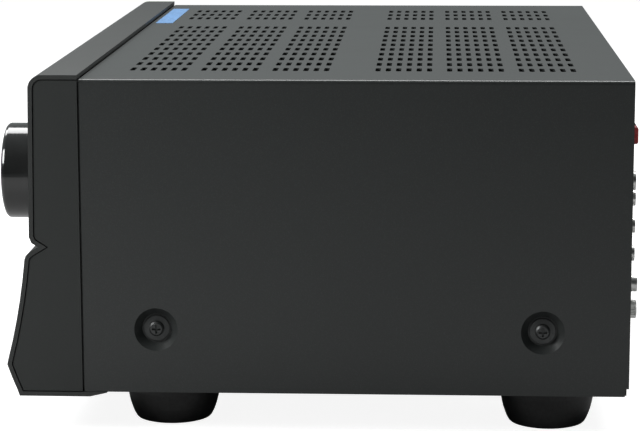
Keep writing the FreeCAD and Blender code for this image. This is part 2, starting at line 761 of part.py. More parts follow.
def encoders():
    """Two rotary encoders bolted to the sub-chassis, each with a bored bushing and a nut."""
    parts = []
    for i, x in enumerate(("dims.volume_x", "dims.selector_x")):
        block = box(f"encoder_block_{i}", (f"{x} - 11", "dims.seam_y - 22.4", "dims.knob_z - 11"),
                    (22, f"22.4 - dims.fascia_gap", 22))
        bushing = rod(f"encoder_bushing_{i}", (x, "dims.seam_y - 22", "dims.knob_z"), "-y",
                      "dims.bushing_radius", 7.4)
        nut = prism(f"encoder_nut_{i}", "xz", hexagon(x, "dims.knob_z", 6.8), "dims.seam_y - 26.3", 2.2)
        bore = rod(f"encoder_bore_{i}", (x, "dims.seam_y - 3", "dims.knob_z"), "-y",
                   "dims.shaft_radius + dims.running_gap", 40)
        parts.append(cut(f"encoder_{i}", fuse(f"encoder_blank_{i}", [block, bushing, nut]), [bore]))
    return node(group("encoder_group", parts), "encoders")


def hexagon(x, z, across):
    """Corner formulas of a hexagon around one point, across being centre to corner."""
    corners = []
    for i in range(6):
        turn = math.radians(60 * i)
        corners.append((f"{x} + {across * math.cos(turn):.3f}", f"{z} + {across * math.sin(turn):.3f}"))
    return corners


TONE_KNOBS = ("bass_knob", "treble_knob", "balance_knob")


def tone_knob(i, name):
    """A small knob and, as a second solid, the potentiometer shaft pressed into it."""
    deep = "(dims.tone_back_y - dims.tone_front_y)"
    rim = "dims.tone_radius"
    profile = [("dims.shaft_radius + 0.02", 0), (rim, 0), (rim, f"{deep} - 1.2"),
               (f"{rim} - 0.3", f"{deep} - 0.5"),
               (f"{rim} - 1.0", f"{deep} - 0.1"), (f"{rim} - 1.6", deep), (0, deep), (0, f"{deep} - 2"),
               ("dims.shaft_radius + 0.02", f"{deep} - 2")]
    shell = turned(name + "_body", profile, (tone_x(i), "dims.tone_back_y", "dims.tone_z"), "-y")
    groove = box(name + "_pointer", (f"{tone_x(i)} - 0.5", "dims.tone_front_y - 1", "dims.tone_z + 2"),
                 (1, 1.6, 4.5))
    shaft = rod(name + "_shaft", (tone_x(i), "dims.seam_y - 21", "dims.tone_z"), "-y", "dims.shaft_radius",
                "dims.seam_y - 21 - (dims.tone_front_y + 2.1)")
    return node(group(name + "_pair", [cut(name + "_cut", shell, [groove]), shaft]), name)


def tone_board():
    """The circuit board of the tone controls with its three bored potentiometers."""
    board = box("tone_pcb", ("dims.tone_first_x - 26", "dims.seam_y - 19", "dims.tone_z - 10"),
                ("2 * dims.tone_pitch + 52", "dims.board_gauge", 20))
    parts = [board]
    for i in range(3):
        x, z = tone_x(i), "dims.tone_z"
        can = box(f"pot_can_{i}", (f"{x} - 8", "dims.seam_y - 28", f"{z} - 8"), (16, 9, 16))
        bushing = rod(f"pot_bushing_{i}", (x, "dims.seam_y - 27", z), "-y", 4, 7)
        bore = rod(f"pot_bore_{i}", (x, "dims.seam_y - 20.5", z), "-y",
                   "dims.shaft_radius + dims.running_gap", 20)
        parts.append(cut(f"pot_{i}", fuse(f"pot_blank_{i}", [can, bushing]), [bore]))
    return node(group("tone_group", parts), "tone_board")


def power_button():
    """A round push button with a retaining flange behind the fascia and a stem to its switch."""
    x, z, front = "dims.power_x", "dims.power_z", "dims.power_front_y"
    profile = ((0, 0), (2, 0), (2, 3.1), (8, 3.1), (8, 4.1), ("dims.power_radius", 4.1),
               ("dims.power_radius", 10.1), ("dims.power_radius - 0.6", 10.7),
               ("dims.power_radius - 1.4", 10.7), ("dims.power_radius - 2.2", 10.4), (0, 10.2))
    return node(turned("power_push", profile, (x, f"{front} + 10.7", z), "-y"), "power_button")


def power_switch():
    x, z = "dims.power_x", "dims.power_z"
    block = box("switch_block", (f"{x} - 7.5", "dims.seam_y - 13", f"{z} - 7.5"),
                (15, "13 - dims.fascia_gap", 15))
    plunger = rod("switch_plunger", (x, "dims.seam_y - 12.5", z), "-y", 2.5, 3.2)
    return node(fuse("switch", [block, plunger]), "power_switch")


def input_button(i):
    """A wide key: cap through the fascia, ledge behind it and a stem to its tact switch."""
    name = f"input_button_{i + 1}"
    x, z, front = button_x(i), "dims.button_z", "dims.button_front_y"
    cap = box(name + "_cap", (f"{x} - dims.button_width / 2", front, f"{z} - dims.button_height / 2"),
              ("dims.button_width", 4.6, "dims.button_height"))
    face = size("button_front_y")
    cap = round_edges(name + "_soft", cap, 0.6, lambda e: abs(e.CenterOfMass.y - face) < 0.01)
    ledge = box(name + "_ledge", (f"{x} - dims.button_width / 2 - 2", f"{front} + 4.2",
                                  f"{z} - dims.button_height / 2 - 1.5"),
                ("dims.button_width + 4", 1, "dims.button_height + 3"))
    stem = rod(name + "_stem", (x, f"{front} + 5", z), "+y", 2, 3.2)
    return node(fuse(name + "_push", [cap, ledge, stem]), name)


def tact_switches():
    parts = []
    for i in range(4):
        x, z = button_x(i), "dims.button_z"
        block = box(f"tact_block_{i}", (f"{x} - 3", "dims.seam_y - 17.4", f"{z} - 3"), (6, 3.4, 6))
        plunger = rod(f"tact_plunger_{i}", (x, "dims.seam_y - 17.2", z), "-y", 1.7, 1.2)
        parts.append(fuse(f"tact_{i}", [block, plunger]))
    return node(group("tact_group", parts), "tact_switches")


def display_board():
    board = box("display_pcb", (-114, "dims.seam_y - 14", 101), (208, "dims.board_gauge", 71))
    return node(board, "display_board")


def display_tube():
    tube = box("tube_glass", (-80, "dims.seam_y - 21", 128), (140, 7, 34))
    tube = round_edges("tube", tube, 1.2, lambda e: along(e, "y"))
    return node(tube, "display_tube")


def headphone_jack():
    """A 6.35 mm jack: bezel ring, tube through the fascia and a body on the sub-chassis."""
    x, z = "dims.phones_x", "dims.phones_z"
    bezel = turned("phones_bezel", ((0, 0), (6, 0), (6, 5.2), (7.6, 5.2), (7.6, 5.9), (6.9, 6.4),
                                    (4.4, 6.4), (3.9, 5.6), (0, 5.6)), (x, "dims.seam_y - 29.7", z), "-y")
    block = box("phones_block", (f"{x} - 8", "dims.seam_y - 28.4", f"{z} - 8"),
                (16, "28.4 - dims.fascia_gap", 16))
    bore = rod("phones_hole", (x, "dims.seam_y - 4", z), "-y", "dims.phones_bore", 40)
    return node(cut("phones", fuse("phones_blank", [bezel, block]), [bore]), "headphone_jack")


# ---------------------------------------------------------------- rear

NEAR_SOCKETS = [(152, z) for z in (112.6, 98.2, 83.4)]
INPUT_SOCKETS = [(60 - 18 * i, z) for i in range(5) for z in (112.0, 98.0)]
OUTPUT_SOCKETS = [(60 - 18 * i, z) for i in range(2) for z in (72.0, 58.0)]
SOCKETS = NEAR_SOCKETS + INPUT_SOCKETS + OUTPUT_SOCKETS
PANEL_BACK_Y = "dims.panel_y - dims.panel_gauge"


def rods_along_y(name, spots, start, radius, length):
    return group(name, [rod(f"{name}_{i}", (x, start, z), "+y", radius, length)
                        for i, (x, z) in enumerate(spots)])


def socket_housings():
    blocks = group("socket_blocks", [box(f"socket_block_{i}", (x - 6.5, "dims.input_board_y", z - 6.7),
                                         (13, f"{PANEL_BACK_Y} - dims.input_board_y", 13.4))
                                     for i, (x, z) in enumerate(SOCKETS)])
    bores = rods_along_y("socket_deep_bores", SOCKETS, "dims.panel_y - 9", "dims.socket_bore", 10)
    return node(cut("socket_housing_group", blocks, [bores]), "socket_housings")


def socket_shells():
    tubes = rods_along_y("shell_tubes", SOCKETS, PANEL_BACK_Y, "dims.socket_radius",
                         f"dims.socket_tip_y - ({PANEL_BACK_Y})")
    rims = rods_along_y("shell_rims", SOCKETS, PANEL_BACK_Y, "dims.socket_rim_radius",
                        "dims.panel_gauge + dims.socket_rim")
    hollows = rods_along_y("shell_hollows", SOCKETS, "dims.panel_y - 5", "dims.socket_radius - 0.6", 20)
    return node(cut("shell_group", fuse("shell_blank", [tubes, rims]), [hollows]), "socket_shells")


def socket_inserts():
    plugs = rods_along_y("insert_plugs", SOCKETS, PANEL_BACK_Y, "dims.socket_radius - 0.6",
                         f"dims.socket_tip_y - 0.5 - ({PANEL_BACK_Y})")
    bores = rods_along_y("insert_bores", SOCKETS, "dims.panel_y - 5", "dims.socket_bore", 20)
    return node(cut("insert_group", plugs, [bores]), "socket_inserts")


def input_board():
    board = box("input_pcb", (-34, "dims.input_board_y - dims.board_gauge", 46),
                (196, "dims.board_gauge", 76))
    return node(board, "input_board")


def coax_connector():
    x, z = "dims.coax_x", "dims.coax_z"
    barrel = rod("coax_barrel", (x, PANEL_BACK_Y, z), "+y", "dims.coax_radius",
                 f"dims.coax_tip_y - ({PANEL_BACK_Y})")
    base = prism("coax_hex", "xz", hexagon(x, z, 6.4), "dims.panel_y + 2", 2)
    bore = rod("coax_bore", (x, "dims.coax_tip_y - 5", z), "+y", 2.2, 6)
    return node(cut("coax", fuse("coax_blank", [barrel, base]), [bore]), "coax_connector")


def tuner_module():
    can = box("tuner_can", (163, 118, 119), (44, f"{PANEL_BACK_Y} - 118", 46))
    can = round_edges("tuner", can, 1, lambda e: along(e, "y"))
    return node(can, "tuner_module")


AERIAL_LEVERS = (("aerial_lever_red", "dims.aerial_red_x"), ("aerial_lever_black", "dims.aerial_black_x"))


def aerial_block():
    block = box("aerial_plate", ("dims.aerial_black_x - 8", "dims.panel_y", "dims.aerial_z - 9"),
                (30, 4.5, 16))
    pockets = [box(f"aerial_pocket_{i}",
                   (f"{x} - 4.8", "dims.panel_y + 0.8", "dims.aerial_z - 4.6"), (9.6, 6, 9.2))
               for i, (label, x) in enumerate(AERIAL_LEVERS)]
    wires = [rod(f"aerial_wire_{i}", (x, "dims.panel_y + 1", "dims.aerial_z - 6.8"), "+y", 1.1, 6)
             for i, (label, x) in enumerate(AERIAL_LEVERS)]
    return node(cut("aerial", block, pockets + wires), "aerial_block")


def aerial_lever(label, x):
    """A push tab that slides into its pocket to open the wire clamp."""
    tab = box(label + "_tab", (f"{x} - 4.3", "dims.panel_y + 3.0", "dims.aerial_z - 4.3"),
              (8.6, "dims.socket_tip_y - dims.panel_y - 3.0", 8.6))
    tip = size("socket_tip_y")
    return node(round_edges(label + "_soft", tab, 1.2, lambda e: abs(e.CenterOfMass.y - tip) < 0.01), label)


def ground_post():
    x, z = "dims.ground_x", "dims.ground_z"
    stud = rod("ground_stud", (x, "dims.panel_y - 10", z), "+y", 2.0, 17.2)
    washer = rod("ground_washer", (x, "dims.panel_y", z), "+y", 5.2, 0.8)
    nut = prism("ground_lock_nut", "xz", hexagon(x, z, 4.2), PANEL_BACK_Y, 2.4)
    return node(fuse("ground", [stud, washer, nut]), "ground_post")


def ground_nut():
    profile = ((2.05, 0), (3.4, 0), (3.4, 0.8), (4.4, 0.8), (4.8, 1.2), (4.8, 5.6), (4.4, 6.1), (2.05, 6.1))
    base = ("dims.ground_x", "dims.panel_y + 1.2", "dims.ground_z")
    return node(turned("ground_thumb", profile, base, "+y"), "ground_nut")


def remote_jack():
    x, z = "dims.remote_x", "dims.remote_z"
    block = box("remote_block", (f"{x} - 4.5", "dims.panel_y - 14", f"{z} - 4.5"),
                (9, "14 - dims.panel_gauge", 9))
    collar = rod("remote_collar", (x, PANEL_BACK_Y, z), "+y", 3.6, 2)
    barrel = rod("remote_barrel", (x, "dims.panel_y", z), "+y", 4.3, "dims.remote_tip_y - dims.panel_y")
    nut = rod("remote_nut", (x, "dims.panel_y", z), "+y", 5.2, 1.6)
    bore = rod("remote_bore", (x, "dims.panel_y - 11", z), "+y", 1.8, 30)
    return node(cut("remote", fuse("remote_blank", [block, collar, barrel, nut]), [bore]), "remote_jack")


POST_COUNT = 4


def post_x(i):
    return f"(dims.post_first_x - {i} * dims.post_pitch)"


def speaker_block():
    left = f"{post_x(POST_COUNT - 1)} - 12"
    span = f"{POST_COUNT - 1} * dims.post_pitch + 24"
    flange = box("speaker_flange", (left, "dims.panel_y", "dims.post_z - 14"), (span, 2, 28))
    body = box("speaker_body", (f"{left} + 3", "dims.panel_y - 12", "dims.post_z - 11"),
               (f"{span} - 6", 13, 22))
    holes = [rod(f"speaker_hole_{i}", (post_x(i), "dims.panel_y - 20", "dims.post_z"), "+y", 3, 40)
             for i in range(POST_COUNT)]
    return node(cut("speaker", fuse("speaker_blank", [flange, body]), holes), "speaker_block")


def speaker_posts():
    """Metal posts: solder tail, threaded stud bored for a banana plug, and a wire hole across it."""
    parts = []
    for i in range(POST_COUNT):
        x, z = post_x(i), "dims.post_z"
        stud = rod(f"post_stud_{i}", (x, "dims.panel_y - 16", z), "+y", 3,
                   "dims.post_tip_y - 0.4 - (dims.panel_y - 16)")
        seat = rod(f"post_seat_{i}", (x, "dims.panel_y + 2", z), "+y", 5.4, 0.8)
        banana = rod(f"post_banana_{i}", (x, "dims.post_tip_y - 12.4", z), "+y", 2.0, 14)
        parts.append(cut(f"post_{i}", fuse(f"post_blank_{i}", [stud, seat]), [banana]))
    return node(group("post_group", parts), "speaker_posts")


def speaker_cap(i):
    """A fluted cap that runs on its post."""
    rim = "dims.cap_radius"
    long = "(dims.post_tip_y - dims.panel_y - 3.6)"
    profile = (("3 + dims.running_gap", 0), (f"{rim} - 0.8", 0), (rim, 0.8), (rim, f"{long} - 0.9"),
               (f"{rim} - 0.9", long), ("3 + dims.running_gap", long))
    return node(turned(f"cap_{i}", profile, (post_x(i), "dims.panel_y + 3.6", "dims.post_z"), "+y"),
                f"speaker_cap_{i + 1}")


def ac_inlet():
    """A three-pin mains inlet: flange outside, cup inside the panel and three flat pins."""
    x, z = "dims.inlet_x", "dims.inlet_z"
    flange = box("inlet_flange", (f"{x} - 15.5", "dims.panel_y", f"{z} - 12"), (31, 2, 24))
    body = box("inlet_body", (f"{x} - 13.6", "dims.panel_y - 18", f"{z} - 10"), (27.2, 19, 20))
    cup = box("inlet_cup", (f"{x} - 12.2", "dims.panel_y - 15", f"{z} - 8.2"), (24.4, 20, 16.4))
    shell = cut("inlet_shell", fuse("inlet_blank", [flange, body]), [cup])
    pins = [box(f"inlet_pin_{i}", (f"{x} + {dx} - 1", "dims.panel_y - 15.5", f"{z} + {dz} - 2"), (2, 13.5, 4))
            for i, (dx, dz) in enumerate(((-7, -2), (7, -2), (0, 2)))]
    return node(fuse("inlet", [shell] + pins), "ac_inlet")


def rear_panel():
    plate = box("rear_plate", (-214, PANEL_BACK_Y, "dims.base_z"),
                (428, "dims.panel_gauge", "dims.cover_height - dims.cover_gauge - 0.2"))
    folds = [box(f"rear_fold_{i}", (x, f"{PANEL_BACK_Y} - 12", "dims.base_z + 6"),
                 ("dims.panel_gauge", 12.5, "dims.cover_height - 14"))
             for i, x in enumerate((-214, "214 - dims.panel_gauge"))]
    sockets = rods_along_y("rear_socket_holes", SOCKETS, "dims.panel_y - 4",
                           "dims.socket_rim_radius + 0.3", 8)
    others = [(f"dims.{a}_x", f"dims.{a}_z", r) for a, r in (("coax", 5.2), ("remote", 3.8), ("ground", 2.1))]
    rounds = [rod(f"rear_hole_{i}", (x, "dims.panel_y - 4", z), "+y", radius, 8)
              for i, (x, z, radius) in enumerate(others)]
    rounds += [rod(f"rear_screw_hole_{i}", (x, "dims.panel_y - 4", REAR_SCREW_Z), "+y", 1.45, 8)
               for i, x in enumerate(REAR_SCREWS)]
    speaker = box("rear_speaker_hole",
                  (f"{post_x(POST_COUNT - 1)} - 9.2", "dims.panel_y - 4", "dims.post_z - 11.2"),
                  (f"{POST_COUNT - 1} * dims.post_pitch + 18.4", 8, 22.4))
    inlet = box("rear_inlet_hole",
                ("dims.inlet_x - 13.8", "dims.panel_y - 4", "dims.inlet_z - 10.2"), (27.6, 8, 20.4))
    vents = [box(f"rear_vent_{i}", (-170 + 9 * i, "dims.panel_y - 4", 112), (3, 8, 34)) for i in range(12)]
    blank = fuse("rear_blank", [plate] + folds)
    return node(cut("rear", blank, [sockets, speaker, inlet] + rounds + vents), "rear_panel")


# ---------------------------------------------------------------- inside

BOARD_Z = "dims.base_z + dims.chassis_gauge + dims.standoff"
BOARD_TOP = f"{BOARD_Z} + dims.board_gauge"


def amplifier_board():
    return node(box("amplifier_pcb", (-75, -73, BOARD_Z), (232, 146, "dims.board_gauge")), "amplifier_board")


def supply_board():
    return node(box("supply_pcb", (-197, 40, BOARD_Z), (106, 88, "dims.board_gauge")), "supply_board")


def heat_sink():
    """A ribbed extrusion: one plate and a row of fins repeated by a linear pattern."""
    body = doc.addObject("PartDesign::Body", "heat_sink_body")
    plate = body_sketch(body, "sink_plate_profile", "XY_Plane")
    close_polygon(plate, [(0, 0), ("dims.sink_length", 0), ("dims.sink_length", 6), (0, 6)])
    pad = body.newObject("PartDesign::Pad", "sink_plate")
    pad.Profile = plate
    pad.setExpression("Length", "dims.sink_height")
    fin = body_sketch(body, "sink_fin_profile", "XY_Plane")
    close_polygon(fin, [(2, 5), ("2 + dims.fin_gauge", 5), ("2 + dims.fin_gauge", "6 + dims.fin_depth"),
                        (2, "6 + dims.fin_depth")])
    blade = body.newObject("PartDesign::Pad", "sink_fin")
    blade.Profile = fin
    blade.setExpression("Length", "dims.sink_height")
    doc.recompute()
    row = body.newObject("PartDesign::LinearPattern", "sink_fins")
    row.Originals = [blade]
    row.Direction = (fin, ["H_Axis"])
    row.Occurrences = int(size("sink_length") / size("fin_pitch"))
    row.setExpression("Length", f"dims.fin_pitch * {row.Occurrences - 1}")
    body.Tip = row
    place(body, ("dims.sink_low_x", "dims.sink_y", BOARD_TOP))
    return node(body, "heat_sink")


TRANSISTORS = (-30, 15, 65, 110)


def power_transistors():
    parts = []
    for i, x in enumerate(TRANSISTORS):
        case = box(f"transistor_case_{i}", (x - 8, "dims.sink_y - 5", 62), (16, 5, 20))
        legs = [box(f"transistor_leg_{i}_{k}", (x - 5.9 + 5.4 * k, "dims.sink_y - 3", BOARD_TOP),
                    (1, 0.7, f"62.5 - ({BOARD_TOP})")) for k in range(3)]
        parts.append(fuse(f"transistor_{i}", [case] + legs))
    return node(group("transistor_group", parts), "power_transistors")


def reservoir_capacitors():
    profile = ((0, 0), (14.4, 0), (15, 0.8), (15, 3), (14.6, 3.8), (15, 4.6),
               (15, 44), (14, 45), (12.5, 44.4), (0, 44.4))
    parts = [turned(f"capacitor_{i}", profile, (x, 86, BOARD_TOP), "+z") for i, x in enumerate((-164, -124))]
    return node(group("capacitor_group", parts), "reservoir_capacitors")


def transformer_core():
    """An E-I stack with its two windows, on a folded foot plate."""
    limb = "dims.core_limb"
    stack = box("core_stack_box", ("dims.core_x", "dims.core_y", "dims.core_z"),
                ("dims.core_width", "dims.core_stack", "dims.core_height"))
    windows = [box(f"core_window_{i}",
                   (f"dims.core_x + {offset} * {limb}", "dims.core_y - 5", f"dims.core_z + {limb}"),
                   (limb, "dims.core_stack + 10", f"dims.core_height - 2 * {limb}"))
               for i, offset in enumerate((1, 4))]
    foot = box("core_foot", ("dims.core_x - 9", "dims.core_y", "dims.base_z + dims.chassis_gauge"),
               ("dims.core_width + 18", "dims.core_stack", "dims.core_z - dims.base_z - dims.chassis_gauge"))
    return node(fuse("core", [cut("core_stack", stack, windows), foot]), "transformer_core")


def transformer_coil():
    limb = "dims.core_limb"
    outer = box("coil_outer",
                (f"dims.core_x + {limb} + 0.3", "dims.core_y - 16", f"dims.core_z + {limb} + 0.4"),
                (f"4 * {limb} - 0.6", "dims.core_stack + 32", f"dims.core_height - 2 * {limb} - 0.8"))
    outer = round_edges("coil_soft", outer, 6, lambda e: along(e, "z"))
    bore = box("coil_bore", (f"dims.core_x + 2 * {limb}", "dims.core_y", "dims.core_z"),
               (f"2 * {limb}", "dims.core_stack", "dims.core_height"))
    return node(cut("coil", outer, [bore]), "transformer_coil")


def ribbon_cable():
    """A flat cable from the display board, over the heat sink, down to the input board."""
    start_y = size("seam_y") - 14 + size("board_gauge")
    end_y = size("input_board_y") - size("board_gauge")
    points = [V(35, start_y, 151), V(35, 108, 151), V(35, 108, 108), V(35, end_y, 108)]
    wide, thick = 15.0, 0.5
    corners = [V(35 - wide, start_y, 151 - thick), V(35 + wide, start_y, 151 - thick),
               V(35 + wide, start_y, 151 + thick), V(35 - wide, start_y, 151 + thick)]
    return node(swept("ribbon", points, 8.0, Part.makePolygon(corners + corners[:1])), "ribbon_cable")


def mains_lead():
    """A sheathed lead from the mains inlet, up and forward to the power switch."""
    x, low, high = size("inlet_x"), size("inlet_z"), size("power_z")
    start_y = size("panel_y") - 18
    front = size("seam_y") + 1 - size("fascia_gap")
    points = [V(x, start_y, low), V(x, 114, low), V(x, 114, high), V(x, front, high)]
    ring = Part.Wire(Part.makeCircle(2.6, points[0], V(0, 1, 0)))
    return node(swept("mains", points, 10.4, ring), "mains_lead")


# ---------------------------------------------------------------- assembly

top_cover()
front_panel()
side_cheeks()
display_window()
label_strip()
bottom_chassis()
front_subchassis()
rear_panel()
feet()
foot_pads()
foot_screws()
cover_side_screws()
cover_rear_screws()
knob("volume_knob", "dims.volume_x", "dims.knob_z", "volume_radius", "knob_back_y", "volume_front_y", 2.4)
knob("selector_knob", "dims.selector_x", "dims.knob_z", "selector_radius", "knob_back_y",
     "selector_front_y", 2.0)
knob_shaft("volume_shaft", "dims.volume_x", "dims.knob_z", "volume_front_y")
knob_shaft("selector_shaft", "dims.selector_x", "dims.knob_z", "selector_front_y")
encoders()
for number, label in enumerate(TONE_KNOBS):
    tone_knob(number, label)
tone_board()
power_button()
power_switch()
for number in range(4):
    input_button(number)
tact_switches()
display_board()
display_tube()
headphone_jack()
socket_housings()
socket_shells()
socket_inserts()
input_board()
coax_connector()
tuner_module()
aerial_block()
for label, place_x in AERIAL_LEVERS:
    aerial_lever(label, place_x)
ground_post()
ground_nut()
remote_jack()
speaker_block()
speaker_posts()
for number in range(POST_COUNT):
    speaker_cap(number)
ac_inlet()
amplifier_board()
supply_board()
heat_sink()
power_transistors()
reservoir_capacitors()
transformer_core()
transformer_coil()
ribbon_cable()
mains_lead()

doc.recompute()

# ---------------------------------------------------------------- checks and export

for item in doc.Objects:
    if "Invalid" in item.State or "Error" in item.State:
        raise RuntimeError(f"{item.Name} did not recompute: {item.State}")
for item in nodes:
    if item.Shape.isNull() or not item.Shape.isValid() or not item.Shape.Solids:
        raise RuntimeError(f"{item.Label} has no valid solid")

os.makedirs("parts", exist_ok=True)
for item in nodes:
    item.Shape.exportStep(f"parts/{item.Label}.step")
print(len(nodes), "sub-parts written")
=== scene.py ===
import json
import math
import random

import bmesh
import bpy
from mathutils import Matrix, Vector
from mathutils.bvhtree import BVHTree


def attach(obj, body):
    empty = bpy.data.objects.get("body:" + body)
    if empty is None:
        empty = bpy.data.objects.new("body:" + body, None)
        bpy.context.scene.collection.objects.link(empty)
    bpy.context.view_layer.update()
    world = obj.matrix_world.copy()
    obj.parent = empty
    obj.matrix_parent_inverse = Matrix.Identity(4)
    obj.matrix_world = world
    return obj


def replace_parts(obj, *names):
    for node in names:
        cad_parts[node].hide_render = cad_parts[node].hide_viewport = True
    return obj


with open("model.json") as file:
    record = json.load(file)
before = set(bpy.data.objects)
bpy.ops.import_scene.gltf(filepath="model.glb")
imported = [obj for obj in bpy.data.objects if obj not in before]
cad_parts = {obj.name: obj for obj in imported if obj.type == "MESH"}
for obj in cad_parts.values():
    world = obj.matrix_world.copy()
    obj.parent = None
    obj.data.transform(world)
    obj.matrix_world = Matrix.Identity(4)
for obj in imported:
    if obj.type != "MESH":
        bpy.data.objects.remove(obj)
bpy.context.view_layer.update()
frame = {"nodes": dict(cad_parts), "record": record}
scene = bpy.context.scene
scene.view_settings.view_transform = "Standard"

# ---------------------------------------------------------------- material tools

X, Y, Z = Vector((1, 0, 0)), Vector((0, 1, 0)), Vector((0, 0, 1))


class Paint:
    """A principled material with its own small node tree, built up in steps."""

    def __init__(self, name, colour, rough, **settings):
        self.material = bpy.data.materials.new(name)
        self.material.use_nodes = True
        self.tree = self.material.node_tree
        self.shader = self.tree.nodes["Principled BSDF"]
        self.shader.inputs["Base Color"].default_value = (*colour, 1)
        self.shader.inputs["Roughness"].default_value = rough
        for socket, value in settings.items():
            self.shader.inputs[socket.replace("_", " ")].default_value = value
        self.colour = colour
        self.rough = rough
        self.height = None

    def node(self, kind, **settings):
        made = self.tree.nodes.new(kind)
        for key, value in settings.items():
            setattr(made, key, value)
        return made

    def link(self, start, end):
        self.tree.links.new(start, end)

    def place(self, stretch=(1, 1, 1)):
        """Object coordinates, stretched along each axis."""
        where = self.node("ShaderNodeTexCoord")
        mapping = self.node("ShaderNodeMapping")
        mapping.inputs["Scale"].default_value = stretch
        self.link(where.outputs["Object"], mapping.inputs["Vector"])
        return mapping.outputs["Vector"]

    def noise(self, scale, detail=2.0, stretch=(1, 1, 1)):
        made = self.node("ShaderNodeTexNoise")
        made.inputs["Scale"].default_value = scale
        made.inputs["Detail"].default_value = detail
        self.link(self.place(stretch), made.inputs["Vector"])
        return made.outputs["Fac"]

    def spread(self, value, low, high, start=0.3, end=0.7):
        """Turn a 0 to 1 pattern into a range of numbers."""
        made = self.node("ShaderNodeMapRange")
        for socket, number in (("From Min", start), ("From Max", end), ("To Min", low), ("To Max", high)):
            made.inputs[socket].default_value = number
        self.link(value, made.inputs["Value"])
        return made.outputs["Result"]

    def vary_rough(self, scale, amount, stretch=(1, 1, 1)):
        pattern = self.noise(scale, 3.0, stretch)
        varied = self.spread(pattern, self.rough - amount, self.rough + amount)
        self.link(varied, self.shader.inputs["Roughness"])
        return self

    def vary_colour(self, scale, other, stretch=(1, 1, 1), start=0.35, end=0.65, detail=3.0):
        """Mix the base colour with another by a noise."""
        mix = self.node("ShaderNodeMix", data_type="RGBA")
        mix.inputs["A"].default_value = (*self.colour, 1)
        mix.inputs["B"].default_value = (*other, 1)
        source = self.shader.inputs["Base Color"]
        if source.is_linked:
            self.link(source.links[0].from_socket, mix.inputs["A"])
        self.link(self.spread(self.noise(scale, detail, stretch), 0, 1, start, end), mix.inputs["Factor"])
        self.link(mix.outputs["Result"], source)
        return self

    def bump(self, pattern, strength, depth):
        """Add one more layer of relief under the surface's normal."""
        made = self.node("ShaderNodeBump")
        made.inputs["Strength"].default_value = strength
        made.inputs["Distance"].default_value = depth
        self.link(pattern, made.inputs["Height"])
        if self.height:
            self.link(self.height.outputs["Normal"], made.inputs["Normal"])
        self.height = made
        self.link(made.outputs["Normal"], self.shader.inputs["Normal"])
        return self

    def grain(self, scale, strength, depth, stretch=(1, 1, 1), detail=2.0):
        return self.bump(self.noise(scale, detail, stretch), strength, depth)

    def bands(self, axis, scale, strength, depth, kind="BANDS"):
        """Parallel lines, or rings, as relief."""
        wave = self.node("ShaderNodeTexWave", wave_type=kind)
        if kind == "BANDS":
            wave.bands_direction = axis
        else:
            wave.rings_direction = axis
        wave.inputs["Scale"].default_value = scale
        wave.inputs["Distortion"].default_value = 0.4
        wave.inputs["Detail"].default_value = 1.0
        self.link(self.place(), wave.inputs["Vector"])
        return self.bump(wave.outputs["Fac"], strength, depth)


def powder_coat(name, colour, rough, speck):
    """Satin powder paint: fine orange-peel relief with a speckle of lighter grains."""
    paint = Paint(name, colour, rough)
    paint.vary_colour(1500, speck, start=0.5, end=0.75, detail=1.0)
    paint.vary_rough(9, 0.02)
    paint.grain(1500, 0.09, 0.0001)
    paint.grain(260, 0.02, 0.0002)
    return paint.material


def moulded(name, colour, rough, scale=900, strength=0.15):
    """Matt moulded plastic with a spark-eroded texture."""
    paint = Paint(name, colour, rough)
    lighter = tuple(min(1.0, c * 1.35 + 0.004) for c in colour)
    paint.vary_colour(scale * 0.7, lighter)
    paint.vary_rough(40, 0.05)
    paint.grain(scale, strength, 0.0001)
    return paint.material


def polished(name, colour, rough=0.16):
    """Gloss plastic with faint ripples and handling haze."""
    paint = Paint(name, colour, rough, Coat_Weight=0.5, Coat_Roughness=0.06)
    lighter = tuple(min(1.0, c * 1.25 + 0.003) for c in colour)
    paint.vary_colour(60, lighter)
    paint.vary_rough(25, 0.04)
    paint.grain(70, 0.03, 0.0003)
    return paint.material


def metal(name, colour, rough, axis="Z", fine=1800, strength=0.12, mottled=0.8):
    """Bare or plated metal with brush lines along one axis and slight mottling."""
    stretch = {"X": (0.02, 1, 1), "Y": (1, 0.02, 1), "Z": (1, 1, 0.02)}[axis]
    paint = Paint(name, colour, rough, Metallic=1.0)
    paint.vary_colour(30, tuple(c * mottled for c in colour))
    paint.vary_rough(fine * 0.3, 0.06, stretch)
    paint.grain(fine, strength, 0.0001, stretch)
    return paint.material


def circuit_board(name, colour, trace):
    """Solder mask over copper tracks: a fine blocky pattern a shade lighter than the board."""
    paint = Paint(name, colour, 0.35, Coat_Weight=0.3, Coat_Roughness=0.2)
    cells = paint.node("ShaderNodeTexVoronoi", distance="CHEBYCHEV")
    cells.inputs["Scale"].default_value = 260
    paint.link(paint.place(), cells.inputs["Vector"])
    mix = paint.node("ShaderNodeMix", data_type="RGBA")
    mix.inputs["A"].default_value = (*colour, 1)
    mix.inputs["B"].default_value = (*trace, 1)
    paint.link(paint.spread(cells.outputs["Distance"], 0, 1, 0.35, 0.4), mix.inputs["Factor"])
    paint.link(mix.outputs["Result"], paint.shader.inputs["Base Color"])
    paint.bump(cells.outputs["Distance"], 0.15, 0.0001)
    return paint.material


def smoked_pane():
    """Dark acrylic: light passes, faintly tinted, with a polished face."""
    paint = Paint("window_smoke", (0.025, 0.03, 0.035), 0.05, Transmission_Weight=0.75, IOR=1.49)
    paint.vary_rough(12, 0.02)
    paint.grain(40, 0.01, 0.0002)
    return paint.material


def tube_glass():
    paint = Paint("tube_glass", (0.02, 0.035, 0.035), 0.08, Coat_Weight=1.0, Coat_Roughness=0.03)
    paint.vary_colour(500, (0.04, 0.06, 0.06))
    paint.grain(1500, 0.1, 0.0001)
    return paint.material


